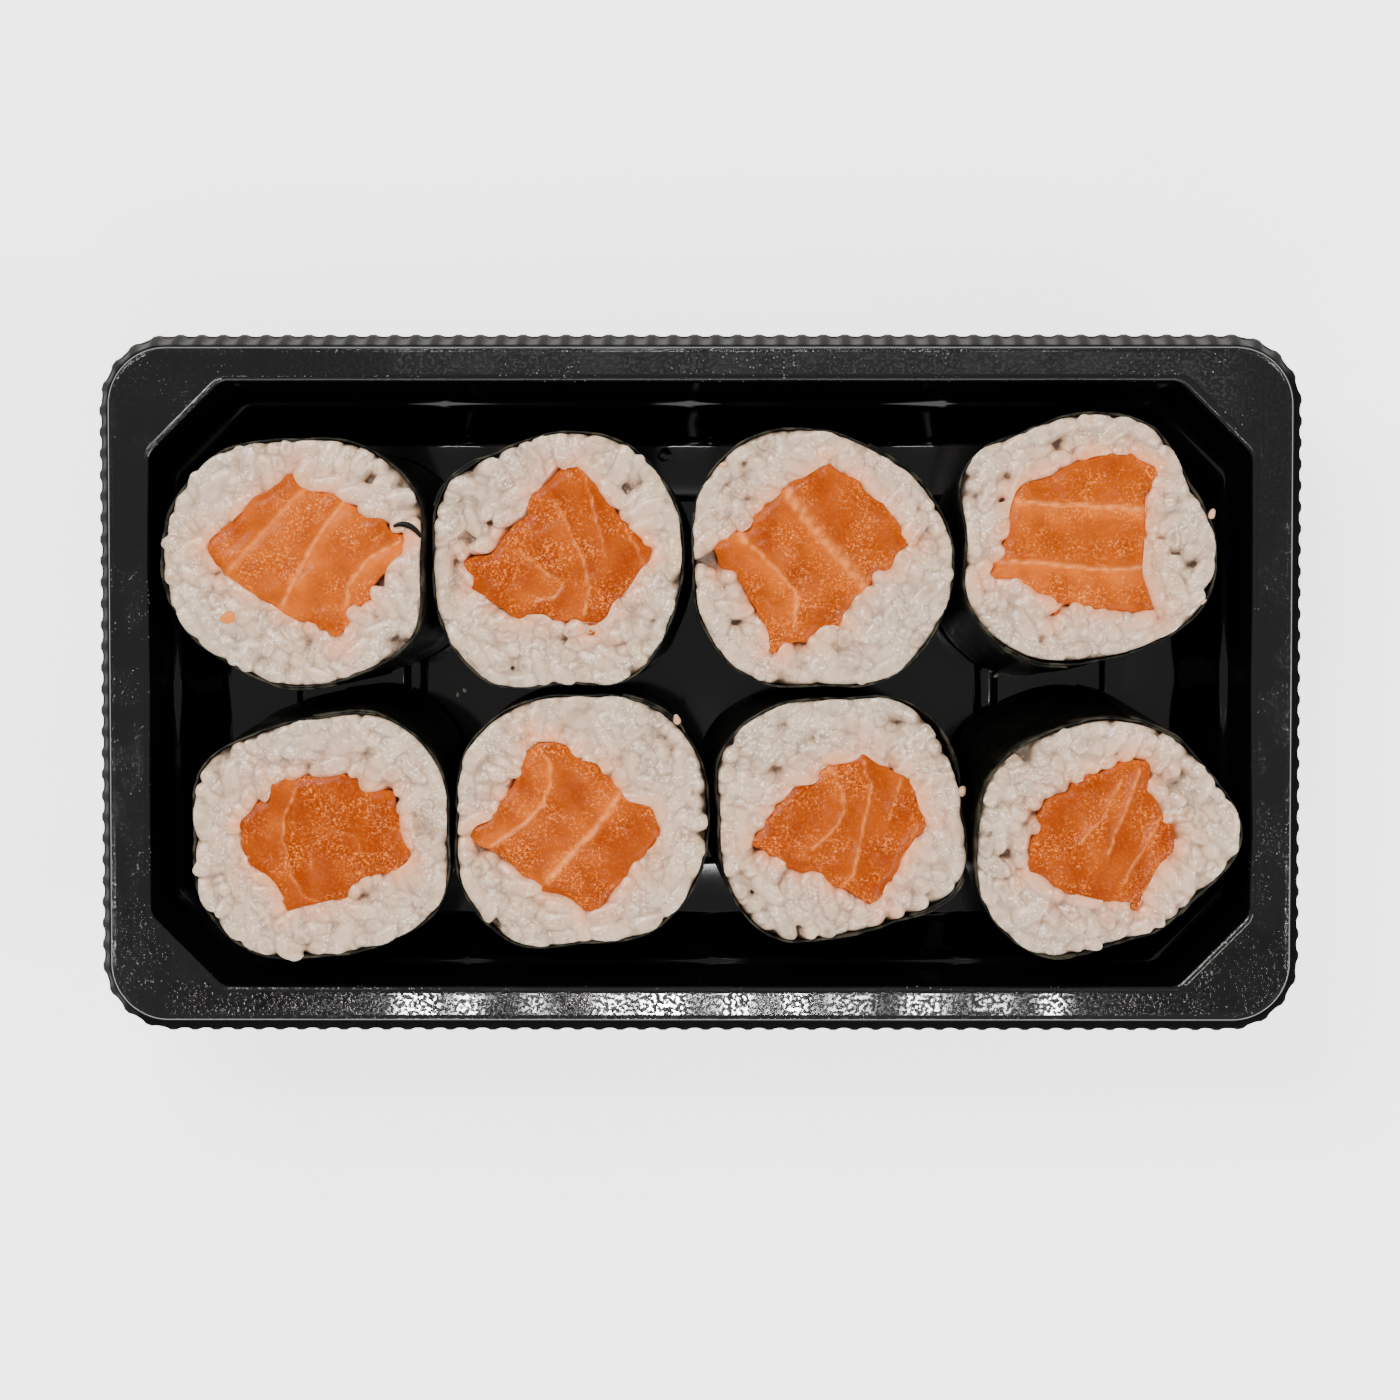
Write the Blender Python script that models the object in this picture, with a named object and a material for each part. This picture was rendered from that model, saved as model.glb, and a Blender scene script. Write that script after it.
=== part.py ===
"""Takeaway sushi tray: eight salmon rolls standing cut side up in a shallow black formed tray.

Origin at the centre of the tray's underside, +X along its length, +Y towards its back edge, +Z up.
Sizes are in millimetres; points() turns them into Blender's metres.
"""

import math
import random

import bmesh
import bpy

MM = 0.001

# Driving dimensions of the tray
OPENING_HALF = (69.1, 38.1)
OPENING_CUT = 9.0
RIM_HALF = (74.2, 42.4)
RIM_RADIUS = 7.5
RIM_Z = 22.0
SHEET = 0.5
CORNER_STEPS = 5
CORNER_EASE = 0.8
CORNER_ROUNDING = 0.19

# Section of the formed sheet, from the floor up over the rim and back under it: each point is the
# distance outwards from the opening's outline, or from the rim's, and the height.
WALL_INSIDE = ((-7.6, SHEET), (-6.5, 1.6), (-3.4, 15.5), (-2.2, 16.0), (-0.3, 21.8), (0.0, 22.25))
LIP = ((0.3, 22.25), (0.55, RIM_Z))
RIM_GROOVE = ((-0.5, RIM_Z), (-0.35, 21.65), (0.0, 21.6))
UNDER_RIM = ((0.65, 17.2), (-0.75, RIM_Z - SHEET))
WALL_OUTSIDE = ((0.8, RIM_Z - SHEET), (0.2, 21.5), (-1.6, 15.7), (-2.8, 15.2), (-5.95, 1.3), (-7.35, 0.0))

# Flutes round the rim's skirt
FLUTE_PITCH = 2.7
FLUTE_TOP = {"offset": 0.20, "depth": 0.10, "z": 21.6}
FLUTE_BOTTOM = {"offset": 1.45, "depth": 0.30, "z": 17.2}

# Raised plateaus in the floor, as spans along X
PLATEAU_SPANS = ((-53.0, -38.2), (-36.6, 36.6), (38.2, 53.0))
PLATEAU_HALF_WIDTH = 24.0
PLATEAU_RISE = 1.0
PLATEAU_DRAFT = 0.5

# Rolls
FOOT_Z = SHEET + PLATEAU_RISE + 0.3
ROLL_HEIGHT = 25.0
TILT_SHARE = 0.5
GAP = 0.35
NORI_SHEET = 0.4
NORI_DROP = 0.7
NORI_OVERLAP_DEG = 28.0
COLUMNS = 24

# Rice grains pressed into the cut face
GRAIN_LENGTH = 6.2
GRAIN_WIDTH = 2.9
GRAIN_SHORTENING = 0.68
GRAIN_FLATNESS = 0.8
GRAINS_PER_ROLL = 20
GRAIN_SIDES = 6
GRAIN_RINGS = 4
CORE_DROP = 0.9
GRAIN_PROUD = 0.15
GRAIN_CLEARANCE = 0.35
GRAIN_TRIES = 260

# Each roll: its centre where it is cut and where it stands, how far the foot is drawn in, where the
# seaweed overlaps, the radius of its cut face every 30 degrees from +X, and the corners of its salmon.
ROLLS = {
    "back_1": {
        "top": (-50.5, 15.0),
        "foot": (-45.3, 14.6),
        "foot_scale": 0.92,
        "seam_deg": 262.0,
        "radii": (15.8, 17.4, 16.8, 15.3, 16.3, 16.7, 16.4, 15.5, 14.5, 14.9, 15.6, 17.2),
        "salmon": (
            (0.0, 12.0), (-4.3, 8.2), (-8.6, 5.4), (-11.3, 2.6), (-9.3, -1.2), (-5.5, -4.2), (-1.2, -6.7),
            (4.0, -7.9), (6.3, -10.0), (7.2, -5.0), (11.7, -0.9), (15.0, 4.0), (8.5, 6.2), (5.3, 9.2), (1.5, 9.5),
        ),
    },
    "back_2": {
        "top": (-17.1, 15.8),
        "foot": (-14.8, 15.1),
        "foot_scale": 0.92,
        "seam_deg": 130.0,
        "radii": (14.8, 15.5, 16.0, 15.5, 15.2, 16.9, 15.9, 17.0, 17.7, 15.3, 16.9, 15.3),
        "salmon": (
            (1.6, 11.6), (-3.9, 8.1), (-4.6, 5.1), (-7.3, 3.9), (-9.0, 0.5), (-13.0, -0.4), (-11.5, -4.0),
            (-6.6, -7.5), (-1.4, -8.2), (2.1, -7.5), (3.8, -9.7), (6.5, -5.7), (11.5, 0.0), (7.8, 4.4), (3.5, 10.2),
        ),
    },
    "back_3": {
        "top": (15.1, 15.5),
        "foot": (14.7, 15.1),
        "foot_scale": 0.92,
        "seam_deg": 40.0,
        "radii": (16.2, 15.6, 15.0, 15.9, 17.4, 17.2, 15.8, 16.6, 16.8, 15.3, 16.6, 16.3),
        "salmon": (
            (0.4, 12.8), (-3.7, 9.3), (-8.4, 5.9), (-11.9, 3.2), (-13.4, 0.3), (-10.4, -1.5), (-7.2, -7.5),
            (-5.8, -12.1), (-1.8, -10.3), (2.9, -7.4), (5.7, -3.5), (8.9, -0.9), (11.6, 1.9), (8.4, 7.1),
            (4.9, 10.3), (1.6, 11.2),
        ),
    },
    "back_4": {
        "top": (48.3, 18.5),
        "foot": (45.2, 15.0),
        "foot_scale": 0.92,
        "seam_deg": 232.0,
        "radii": (15.4, 14.0, 15.6, 15.3, 15.1, 17.5, 15.2, 17.1, 16.6, 15.0, 15.1, 16.3),
        "salmon": (
            (1.5, 10.6), (-0.2, 9.2), (-8.4, 7.1), (-10.3, 4.3), (-10.6, -2.0), (-13.3, -5.0), (-9.1, -5.3),
            (-4.5, -8.8), (0.8, -9.2), (5.5, -8.9), (8.1, -9.7), (6.7, -4.0), (7.5, -0.8), (7.2, 4.8),
            (8.4, 8.8), (5.7, 10.4),
        ),
    },
    "front_1": {
        "top": (-47.1, -19.0),
        "foot": (-45.4, -15.0),
        "foot_scale": 0.92,
        "seam_deg": 65.0,
        "radii": (15.7, 17.1, 17.0, 14.8, 15.0, 16.9, 15.6, 17.0, 16.7, 14.8, 15.2, 16.8),
        "salmon": (
            (2.6, 8.5), (-1.8, 7.0), (-6.3, 7.0), (-7.6, 4.8), (-10.7, 2.0), (-9.6, -3.6), (-7.1, -4.2),
            (-4.6, -9.4), (3.5, -7.8), (5.5, -5.0), (9.6, -4.2), (11.5, -2.8), (10.2, 0.5), (9.2, 5.7),
            (5.2, 5.6), (4.7, 7.3),
        ),
    },
    "front_2": {
        "top": (-14.2, -16.5),
        "foot": (-14.9, -14.9),
        "foot_scale": 0.92,
        "seam_deg": 45.0,
        "radii": (15.2, 16.0, 16.1, 15.1, 16.2, 16.8, 15.8, 17.4, 17.8, 15.4, 16.2, 15.7),
        "salmon": (
            (-7.3, 11.8), (-8.3, 7.5), (-10.5, 2.6), (-14.0, -2.5), (-11.8, -4.3), (-8.3, -8.2), (-4.6, -9.6),
            (0.1, -11.7), (5.1, -8.1), (9.5, -2.1), (9.1, 1.0), (4.6, 3.1), (1.6, 7.3), (-0.6, 7.7),
            (-2.3, 9.8), (-5.8, 10.1),
        ),
    },
    "front_3": {
        "top": (17.5, -16.2),
        "foot": (14.1, -14.8),
        "foot_scale": 0.92,
        "seam_deg": 305.0,
        "radii": (15.1, 15.4, 16.1, 14.4, 15.7, 16.6, 14.9, 16.1, 17.1, 14.9, 14.9, 17.1),
        "salmon": (
            (3.1, 8.8), (2.0, 6.9), (-1.5, 6.6), (-3.3, 4.4), (-5.7, 4.1), (-9.4, -2.0), (-12.1, -3.4),
            (-5.5, -7.3), (-3.0, -7.0), (0.5, -9.0), (5.3, -11.7), (5.9, -8.6), (9.6, -2.6), (11.3, -0.8),
            (10.3, 0.8), (8.4, 5.1), (4.7, 7.1),
        ),
    },
    "front_4": {
        "top": (50.9, -19.0),
        "foot": (47.0, -13.6),
        "foot_scale": 0.88,
        "seam_deg": 52.0,
        "radii": (16.5, 14.8, 14.6, 14.6, 14.9, 16.6, 16.4, 17.5, 16.8, 13.5, 13.1, 13.6),
        "salmon": (
            (2.4, 10.1), (-1.0, 9.0), (-4.8, 7.2), (-9.6, 4.4), (-8.6, 2.5), (-9.9, -0.4), (-11.0, -4.5),
            (-8.0, -4.8), (-3.8, -7.5), (2.4, -7.9), (4.1, -9.4), (5.1, -5.2), (8.2, -2.0), (8.4, 1.2),
            (5.0, 5.5), (4.9, 9.6),
        ),
    },
}


def clear_scene():
    for old in list(bpy.data.objects):
        bpy.data.objects.remove(old)


def material(name, colour, roughness):
    made = bpy.data.materials.new(name)
    made.use_nodes = True
    shader = made.node_tree.nodes["Principled BSDF"]
    shader.inputs["Base Color"].default_value = (*colour, 1.0)
    shader.inputs["Roughness"].default_value = roughness
    shader.inputs["Metallic"].default_value = 0.0
    return made


def points(outline, z):
    """Outline points in millimetres as metres; z is one height or a function of x and y."""
    if callable(z):
        return [(x * MM, y * MM, z(x, y) * MM) for x, y in outline]
    return [(x * MM, y * MM, z * MM) for x, y in outline]


def loop(bm, coordinates):
    """A closed loop of edges through the given points."""
    verts = [bm.verts.new(c) for c in coordinates]
    return [bm.edges.new((a, b)) for a, b in zip(verts, verts[1:] + verts[:1])]


def wall_between(bm, edges_a, edges_b):
    """Quads between two loops with the same number of points."""
    for a, b in zip(edges_a, edges_b):
        bm.faces.new((a.verts[0], a.verts[1], b.verts[1], b.verts[0]))


def flat_between(bm, edges_a, edges_b=()):
    """A flat face inside one loop, or a flat ring between two loops of any counts."""
    bmesh.ops.triangle_fill(bm, edges=[*edges_a, *edges_b], use_beauty=True, normal=(0, 0, 1))


def finish(name, bm, made_of, parent=None):
    bmesh.ops.recalc_face_normals(bm, faces=bm.faces)
    mesh = bpy.data.meshes.new(name)
    bm.to_mesh(mesh)
    bm.free()
    mesh.materials.append(made_of)
    made = bpy.data.objects.new(name, mesh)
    bpy.context.scene.collection.objects.link(made)
    made.parent = parent
    return made


def hide_as_tool(tool):
    tool.hide_render = True
    tool.display_type = "WIRE"


# Tray outlines


def cut_corner_outline(offset):
    """The opening's octagon, moved outwards by offset, each corner eased by three points."""
    half_x, half_y = (half + offset for half in OPENING_HALF)
    outline = []
    for quadrant in range(4):
        turn = quadrant * math.pi / 2
        across, along = (half_x, half_y) if quadrant % 2 == 0 else (half_y, half_x)
        corners = ((across, along - OPENING_CUT), (across - OPENING_CUT, along))
        headings = (math.pi / 2, 3 * math.pi / 4, math.pi)
        for (cx, cy), before, after in zip(corners, headings, headings[1:]):
            middle = (before + after) / 2 + math.pi / 2
            inset = CORNER_EASE * CORNER_ROUNDING
            local = (
                (cx - CORNER_EASE * math.cos(before), cy - CORNER_EASE * math.sin(before)),
                (cx + inset * math.cos(middle), cy + inset * math.sin(middle)),
                (cx + CORNER_EASE * math.cos(after), cy + CORNER_EASE * math.sin(after)),
            )
            outline += [turned(x, y, turn) for x, y in local]
    return outline


def turned(x, y, angle):
    return x * math.cos(angle) - y * math.sin(angle), x * math.sin(angle) + y * math.cos(angle)


def round_corner_outline(offset):
    """The rim's rounded rectangle, moved outwards by offset."""
    half_x, half_y = (half + offset for half in RIM_HALF)
    radius = RIM_RADIUS + offset
    outline = []
    for quadrant in range(4):
        centre_x = (half_x - radius) * (1 if quadrant in (0, 3) else -1)
        centre_y = (half_y - radius) * (1 if quadrant in (0, 1) else -1)
        for step in range(CORNER_STEPS + 1):
            angle = (quadrant + step / CORNER_STEPS) * math.pi / 2
            outline.append((centre_x + radius * math.cos(angle), centre_y + radius * math.sin(angle)))
    return outline


def fluted_outline(offset, depth):
    """The rim's rounded rectangle as a zigzag: one crest and one valley to each flute."""
    half_x, half_y = (half + offset for half in RIM_HALF)
    radius = RIM_RADIUS + offset
    straight = (2 * (half_y - radius), 2 * (half_x - radius))
    arc = radius * math.pi / 2
    around = 2 * (straight[0] + straight[1]) + 4 * arc
    flutes = round((2 * sum(straight) + 4 * RIM_RADIUS * math.pi / 2) / FLUTE_PITCH)
    outline = []
    for index in range(2 * flutes):
        run = around * index / (2 * flutes)
        x, y, heading = on_rounded_rectangle(run, half_x, half_y, radius)
        push = depth if index % 2 else -depth
        outline.append((x + push * math.cos(heading), y + push * math.sin(heading)))
    return outline


def on_rounded_rectangle(run, half_x, half_y, radius):
    """The point and outward heading at a distance along the outline, from the middle of the +X side."""
    arc = radius * math.pi / 2
    corner_x, corner_y = half_x - radius, half_y - radius
    legs = (
        (corner_y, (half_x, 0), 0),
        (arc, (corner_x, corner_y), 0),
        (2 * corner_x, (corner_x, half_y), 1),
        (arc, (-corner_x, corner_y), 1),
        (2 * corner_y, (-half_x, corner_y), 2),
        (arc, (-corner_x, -corner_y), 2),
        (2 * corner_x, (-corner_x, -half_y), 3),
        (arc, (corner_x, -corner_y), 3),
        (corner_y, (half_x, -corner_y), 0),
    )
    for number, (length, (x, y), quarter) in enumerate(legs):
        if run <= length or number == len(legs) - 1:
            heading = quarter * math.pi / 2
            if number % 2:
                heading += run / radius
                return x + radius * math.cos(heading), y + radius * math.sin(heading), heading
            return x - run * math.sin(heading), y + run * math.cos(heading), heading
        run -= length


def build_tray(black):
    """One formed sheet: floor, stepped wall, lip, flat rim and fluted skirt, as one closed shell."""
    bm = bmesh.new()
    over = [loop(bm, points(cut_corner_outline(offset), z)) for offset, z in WALL_INSIDE + LIP]
    over += [loop(bm, points(round_corner_outline(offset), z)) for offset, z in RIM_GROOVE]
    under = [loop(bm, points(round_corner_outline(offset), z)) for offset, z in UNDER_RIM]
    under += [loop(bm, points(cut_corner_outline(offset), z)) for offset, z in WALL_OUTSIDE]
    flutes = [
        loop(bm, points(fluted_outline(level["offset"], level["depth"]), level["z"]))
        for level in (FLUTE_TOP, FLUTE_BOTTOM)
    ]

    for run in (over, under, flutes):
        for a, b in zip(run, run[1:]):
            wall_between(bm, a, b)
    flat_between(bm, over[0])
    flat_between(bm, over[-1], flutes[0])
    flat_between(bm, flutes[1], under[0])
    flat_between(bm, under[-1])
    tray = finish("tray", bm, black)
    form_floor(tray)
    return tray


def form_floor(tray):
    """Presses the plateaus up out of the floor, hollow underneath like the rest of the sheet."""
    for number, (left, right) in enumerate(PLATEAU_SPANS, 1):
        top = SHEET + PLATEAU_RISE
        for operation, bottom, height, shrink in (
            ("UNION", SHEET / 2, top, 0.0),
            ("DIFFERENCE", -PLATEAU_RISE, top - SHEET, SHEET),
        ):
            bm = bmesh.new()
            levels = []
            for z in (bottom, height):
                inset = shrink + PLATEAU_DRAFT * (z - SHEET) / PLATEAU_RISE
                low, high = left + inset, right - inset
                deep = PLATEAU_HALF_WIDTH - inset
                outline = ((high, -deep), (high, deep), (low, deep), (low, -deep))
                levels.append(loop(bm, points(outline, z)))
            wall_between(bm, *levels)
            for level in levels:
                flat_between(bm, level)
            tool = finish(f"floor_tool_{operation.lower()}_{number}", bm, tray.data.materials[0])
            hide_as_tool(tool)
            modifier = tray.modifiers.new(tool.name, "BOOLEAN")
            modifier.operation = operation
            modifier.object = tool


# Roll outlines


def smooth_radius(radii, angle):
    """Radius at an angle, on a smooth closed curve through the given radii."""
    place = angle / (2 * math.pi) * len(radii)
    step = math.floor(place)
    t = place - step
    a, b, c, d = (radii[(step + k) % len(radii)] for k in (-1, 0, 1, 2))
    return b + 0.5 * t * (c - a + t * (2 * a - 5 * b + 4 * c - d + t * (3 * (b - c) + d - a)))


def roll_outline(roll, grow, columns):
    return [
        (radius * math.cos(angle), radius * math.sin(angle))
        for angle in (2 * math.pi * k / columns for k in range(columns))
        for radius in (smooth_radius(roll["radii"], angle) + grow,)
    ]


def nori_outside(roll):
    """The sheet's outer face: it steps out by one thickness where its end laps over its start."""
    outline = []
    for k in range(COLUMNS):
        angle = 2 * math.pi * k / COLUMNS
        past_seam = (math.degrees(angle) - roll["seam_deg"]) % 360
        lapped = NORI_SHEET if past_seam < NORI_OVERLAP_DEG else 0.0
        radius = smooth_radius(roll["radii"], angle) + NORI_SHEET + lapped
        outline.append((radius * math.cos(angle), radius * math.sin(angle)))
    return outline


def grown(outline, distance):
    """A closed counterclockwise outline with every side moved outwards."""
    made = []
    for (ax, ay), (bx, by), (cx, cy) in zip(outline[-1:] + outline[:-1], outline, outline[1:] + outline[:1]):
        first = math.hypot(bx - ax, by - ay)
        second = math.hypot(cx - bx, cy - by)
        nx = (by - ay) / first + (cy - by) / second
        ny = -(bx - ax) / first - (cx - bx) / second
        length_squared = nx * nx + ny * ny
        made.append((bx + 2 * distance * nx / length_squared, by + 2 * distance * ny / length_squared))
    return made


class Leaning:
    """Carries a roll's cut face down to its foot: drawn in, moved over and levelled."""

    def __init__(self, roll):
        self.scale = roll["foot_scale"]
        self.shift = [t - f for t, f in zip(roll["top"], roll["foot"])]

    def top(self, outline, drop=0.0):
        """The outline at the cut face, which tilts with the roll, lowered by drop."""
        share = 1.0 - drop / ROLL_HEIGHT
        moved = [(x + self.shift[0] * share, y + self.shift[1] * share) for x, y in outline]
        return points(moved, lambda x, y: self.height(x, y) - drop)

    def height(self, x, y):
        """Height of the cut face over a point, in the roll's own frame."""
        px, py = x - self.shift[0], y - self.shift[1]
        return ROLL_HEIGHT - TILT_SHARE * (self.shift[0] * px + self.shift[1] * py) / ROLL_HEIGHT

    def foot(self, outline):
        return points([(x * self.scale, y * self.scale) for x, y in outline], 0.0)


def build_nori(name, roll, lean, seaweed, frame):
    bm = bmesh.new()
    outside = nori_outside(roll)
    inside = roll_outline(roll, 0.0, COLUMNS)
    rings = [
        loop(bm, lean.foot(outside)),
        loop(bm, lean.top(outside, NORI_DROP)),
        loop(bm, lean.top(inside, NORI_DROP)),
        loop(bm, lean.foot(inside)),
    ]
    for a, b in zip(rings, rings[1:] + rings[:1]):
        wall_between(bm, a, b)
    return finish(f"nori_{name}", bm, seaweed, frame)


def build_salmon(name, roll, lean, fish, frame):
    bm = bmesh.new()
    outline = list(roll["salmon"])
    rings = [loop(bm, lean.foot(outline)), loop(bm, lean.top(outline))]
    wall_between(bm, *rings)
    for ring in rings:
        flat_between(bm, ring)
    return finish(f"salmon_{name}", bm, fish, frame)


def inside_outline(x, y, outline):
    inside = False
    for (ax, ay), (bx, by) in zip(outline, outline[1:] + outline[:1]):
        if (ay > y) != (by > y) and x < ax + (y - ay) * (bx - ax) / (by - ay):
            inside = not inside
    return inside


def grain_fits(x, y, heading, length, keep_in, keep_out):
    """Whether a grain's whole outline lies on the rice, clear of the seaweed and the salmon."""
    for k in range(12):
        u = length / 2 * math.cos(k * math.pi / 6)
        v = GRAIN_WIDTH / 2 * math.sin(k * math.pi / 6)
        dx, dy = turned(u, v, heading)
        if not inside_outline(x + dx, y + dy, keep_in) or inside_outline(x + dx, y + dy, keep_out):
            return False
    return True


def place_grains(roll, seed):
    """Spreads grains over the ring of rice: each is the candidate furthest from those already placed."""
    draw = random.Random(seed)
    keep_in = roll_outline(roll, -GAP - GRAIN_CLEARANCE, 48)
    keep_out = grown(list(roll["salmon"]), GAP + GRAIN_CLEARANCE)
    reach = max(roll["radii"])
    placed = []
    for _ in range(GRAINS_PER_ROLL):
        best, best_room = None, 0.0
        for _ in range(GRAIN_TRIES):
            x, y = draw.uniform(-reach, reach), draw.uniform(-reach, reach)
            heading = math.atan2(y, x) + math.pi / 2 + draw.gauss(0.0, 0.6)
            length = GRAIN_LENGTH * draw.uniform(0.88, 1.08)
            room = min((math.hypot(x - px, y - py) for px, py, _, _ in placed), default=reach)
            if room <= best_room:
                continue
            for tried in (length, length * GRAIN_SHORTENING):
                if grain_fits(x, y, heading, tried, keep_in, keep_out):
                    best, best_room = (x, y, heading, tried), room
                    break
        if best:
            placed.append(best)
    return placed


def build_rice(name, roll, lean, rice, frame, seed):
    """The ring of rice: a core between seaweed and salmon, with the grains of the cut face fused on."""
    bm = bmesh.new()
    outside = roll_outline(roll, -GAP, COLUMNS)
    inside = grown(list(roll["salmon"]), GAP)
    outer = [loop(bm, lean.foot(outside)), loop(bm, lean.top(outside, CORE_DROP))]
    inner = [loop(bm, lean.foot(inside)), loop(bm, lean.top(inside, CORE_DROP))]
    wall_between(bm, *outer)
    wall_between(bm, *inner)
    for a, b in zip(outer, inner):
        flat_between(bm, a, b)
    core = finish(f"rice_{name}", bm, rice, frame)

    grains = bpy.data.collections.new(f"grains_{name}")
    bpy.context.scene.collection.children.link(grains)
    half_height = GRAIN_WIDTH * GRAIN_FLATNESS / 2
    for number, (x, y, heading, length) in enumerate(place_grains(roll, seed)):
        bm = bmesh.new()
        bmesh.ops.create_uvsphere(bm, u_segments=GRAIN_SIDES, v_segments=GRAIN_RINGS, radius=1.0)
        size = (GRAIN_WIDTH / 2 * MM, half_height * MM, length / 2 * MM)
        bmesh.ops.scale(bm, vec=size, verts=bm.verts)
        mesh = bpy.data.meshes.new(f"grain_{name}_{number}")
        bm.to_mesh(mesh)
        bm.free()
        grain = bpy.data.objects.new(mesh.name, mesh)
        grains.objects.link(grain)
        grain.parent = frame
        sx, sy = x + lean.shift[0], y + lean.shift[1]
        centre_z = lean.height(sx, sy) + GRAIN_PROUD - half_height
        grain.location = (sx * MM, sy * MM, centre_z * MM)
        grain.rotation_euler = (math.pi / 2, 0.0, heading + math.pi / 2)
    fuse(core, grains)
    return core


def fuse(core, grains):
    """Joins every grain in the collection to the core, then clears the loose grains away."""
    modifier = core.modifiers.new("fuse_grains", "BOOLEAN")
    modifier.operation = "UNION"
    modifier.operand_type = "COLLECTION"
    modifier.collection = grains
    bpy.context.view_layer.update()
    joined = core.evaluated_get(bpy.context.evaluated_depsgraph_get())
    mesh = bpy.data.meshes.new_from_object(joined)
    core.modifiers.clear()
    core.data = mesh
    for grain in list(grains.objects):
        bpy.data.objects.remove(grain)
    bpy.data.collections.remove(grains)


def main():
    clear_scene()
    black = material("black_formed_plastic", (0.008, 0.008, 0.009), 0.18)
    seaweed = material("toasted_seaweed", (0.008, 0.012, 0.007), 0.45)
    rice = material("cooked_rice", (0.72, 0.66, 0.60), 0.35)
    fish = material("raw_salmon", (0.68, 0.18, 0.04), 0.35)
    build_tray(black)
    for seed, (name, roll) in enumerate(ROLLS.items(), 1):
        frame = bpy.data.objects.new(f"roll_{name}", None)
        bpy.context.scene.collection.objects.link(frame)
        frame.location = (roll["foot"][0] * MM, roll["foot"][1] * MM, FOOT_Z * MM)
        lean = Leaning(roll)
        build_nori(name, roll, lean, seaweed, frame)
        build_salmon(name, roll, lean, fish, frame)
        build_rice(name, roll, lean, rice, frame, seed)


main()
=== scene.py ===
"""Looks of the takeaway sushi tray: formed black plastic packed with rolls of rice, seaweed and salmon.

Sizes are in millimetres in the tray's own frame, and become Blender's metres where a mesh is placed.
A roll is modelled in its own upright space: u and v lie across the cut face from the roll's centre,
and w is the height above the cut face. Roll.place() then leans it into the tray.
"""

import math

import bmesh
import bpy
import numpy as np
from mathutils import Matrix, Vector


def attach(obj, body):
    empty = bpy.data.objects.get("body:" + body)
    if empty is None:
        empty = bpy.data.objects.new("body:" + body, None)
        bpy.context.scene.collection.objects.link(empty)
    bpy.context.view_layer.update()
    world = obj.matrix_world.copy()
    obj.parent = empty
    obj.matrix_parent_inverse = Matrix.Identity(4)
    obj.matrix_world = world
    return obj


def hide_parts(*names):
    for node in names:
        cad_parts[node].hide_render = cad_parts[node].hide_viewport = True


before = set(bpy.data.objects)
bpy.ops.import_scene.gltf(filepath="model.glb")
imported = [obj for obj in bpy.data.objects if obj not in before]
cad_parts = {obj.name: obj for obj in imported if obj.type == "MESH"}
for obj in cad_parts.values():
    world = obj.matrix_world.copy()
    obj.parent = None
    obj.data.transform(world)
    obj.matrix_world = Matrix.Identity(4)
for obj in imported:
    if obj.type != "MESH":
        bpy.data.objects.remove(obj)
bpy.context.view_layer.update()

MM = 0.001

# Tray: half sizes of the opening and the rim, and the section of the formed sheet
OPENING_HALF = (69.1, 38.1)
OPENING_CUT = 9.0
OPENING_ROUND = 1.4
RIM_HALF = (74.2, 42.4)
RIM_RADIUS = 7.5
RIM_Z = 22.0
SHEET = 0.5
FLOOR_OFFSET = -7.6
WALL = (
    (-7.2, 0.56), (-6.85, 0.78), (-6.6, 1.15), (-6.45, 1.7), (-3.55, 14.9), (-3.4, 15.3), (-3.15, 15.6),
    (-2.75, 15.75), (-2.3, 15.9), (-2.1, 16.15), (-2.0, 16.6), (-0.45, 21.6), (-0.3, 21.95), (-0.1, 22.18),
    (0.1, 22.24), (0.28, 22.16), (0.38, 22.02), (0.5, RIM_Z), (0.7, RIM_Z),
)
RIM_EDGE = (
    (-0.95, RIM_Z), (-0.75, RIM_Z), (-0.6, 22.06), (-0.42, 22.06), (-0.28, 21.9), (-0.2, 21.62),
    (-0.02, 21.5),
)
SKIRT = (
    (0.10, 21.55, 0.0), (0.20, 21.42, 0.1), (0.30, 21.1, 0.55), (0.5, 20.4, 1.0), (0.76, 19.5, 1.0),
    (1.04, 18.6, 1.0), (1.32, 17.75, 1.0), (1.42, 17.45, 0.8), (1.45, 17.25, 0.35),
)
FLUTE_PITCH = 2.7
FLUTE_COLUMNS = 8
FLUTE_DEPTH = 0.24
FLUTE_SQUARENESS = 2.4

# Where the flat rim begins, and where its front is rubbed dull, each as a ramp from none to all
RIM_RAMP = (RIM_Z - 0.1, RIM_Z - 0.01)
RUBBED_X_RAMP = (62.0, 46.0)
RUBBED_Y_RAMP = (-38.2, -39.0)

# Raised plateaus in the floor, as spans along X
PLATEAU_SPANS = ((-53.0, -38.2), (-36.6, 36.6), (38.2, 53.0))
PLATEAU_HALF_WIDTH = 24.0
PLATEAU_RISE = 1.0
PLATEAU_SLOPE = 0.5
PLATEAU_ROUND = 0.4

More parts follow.
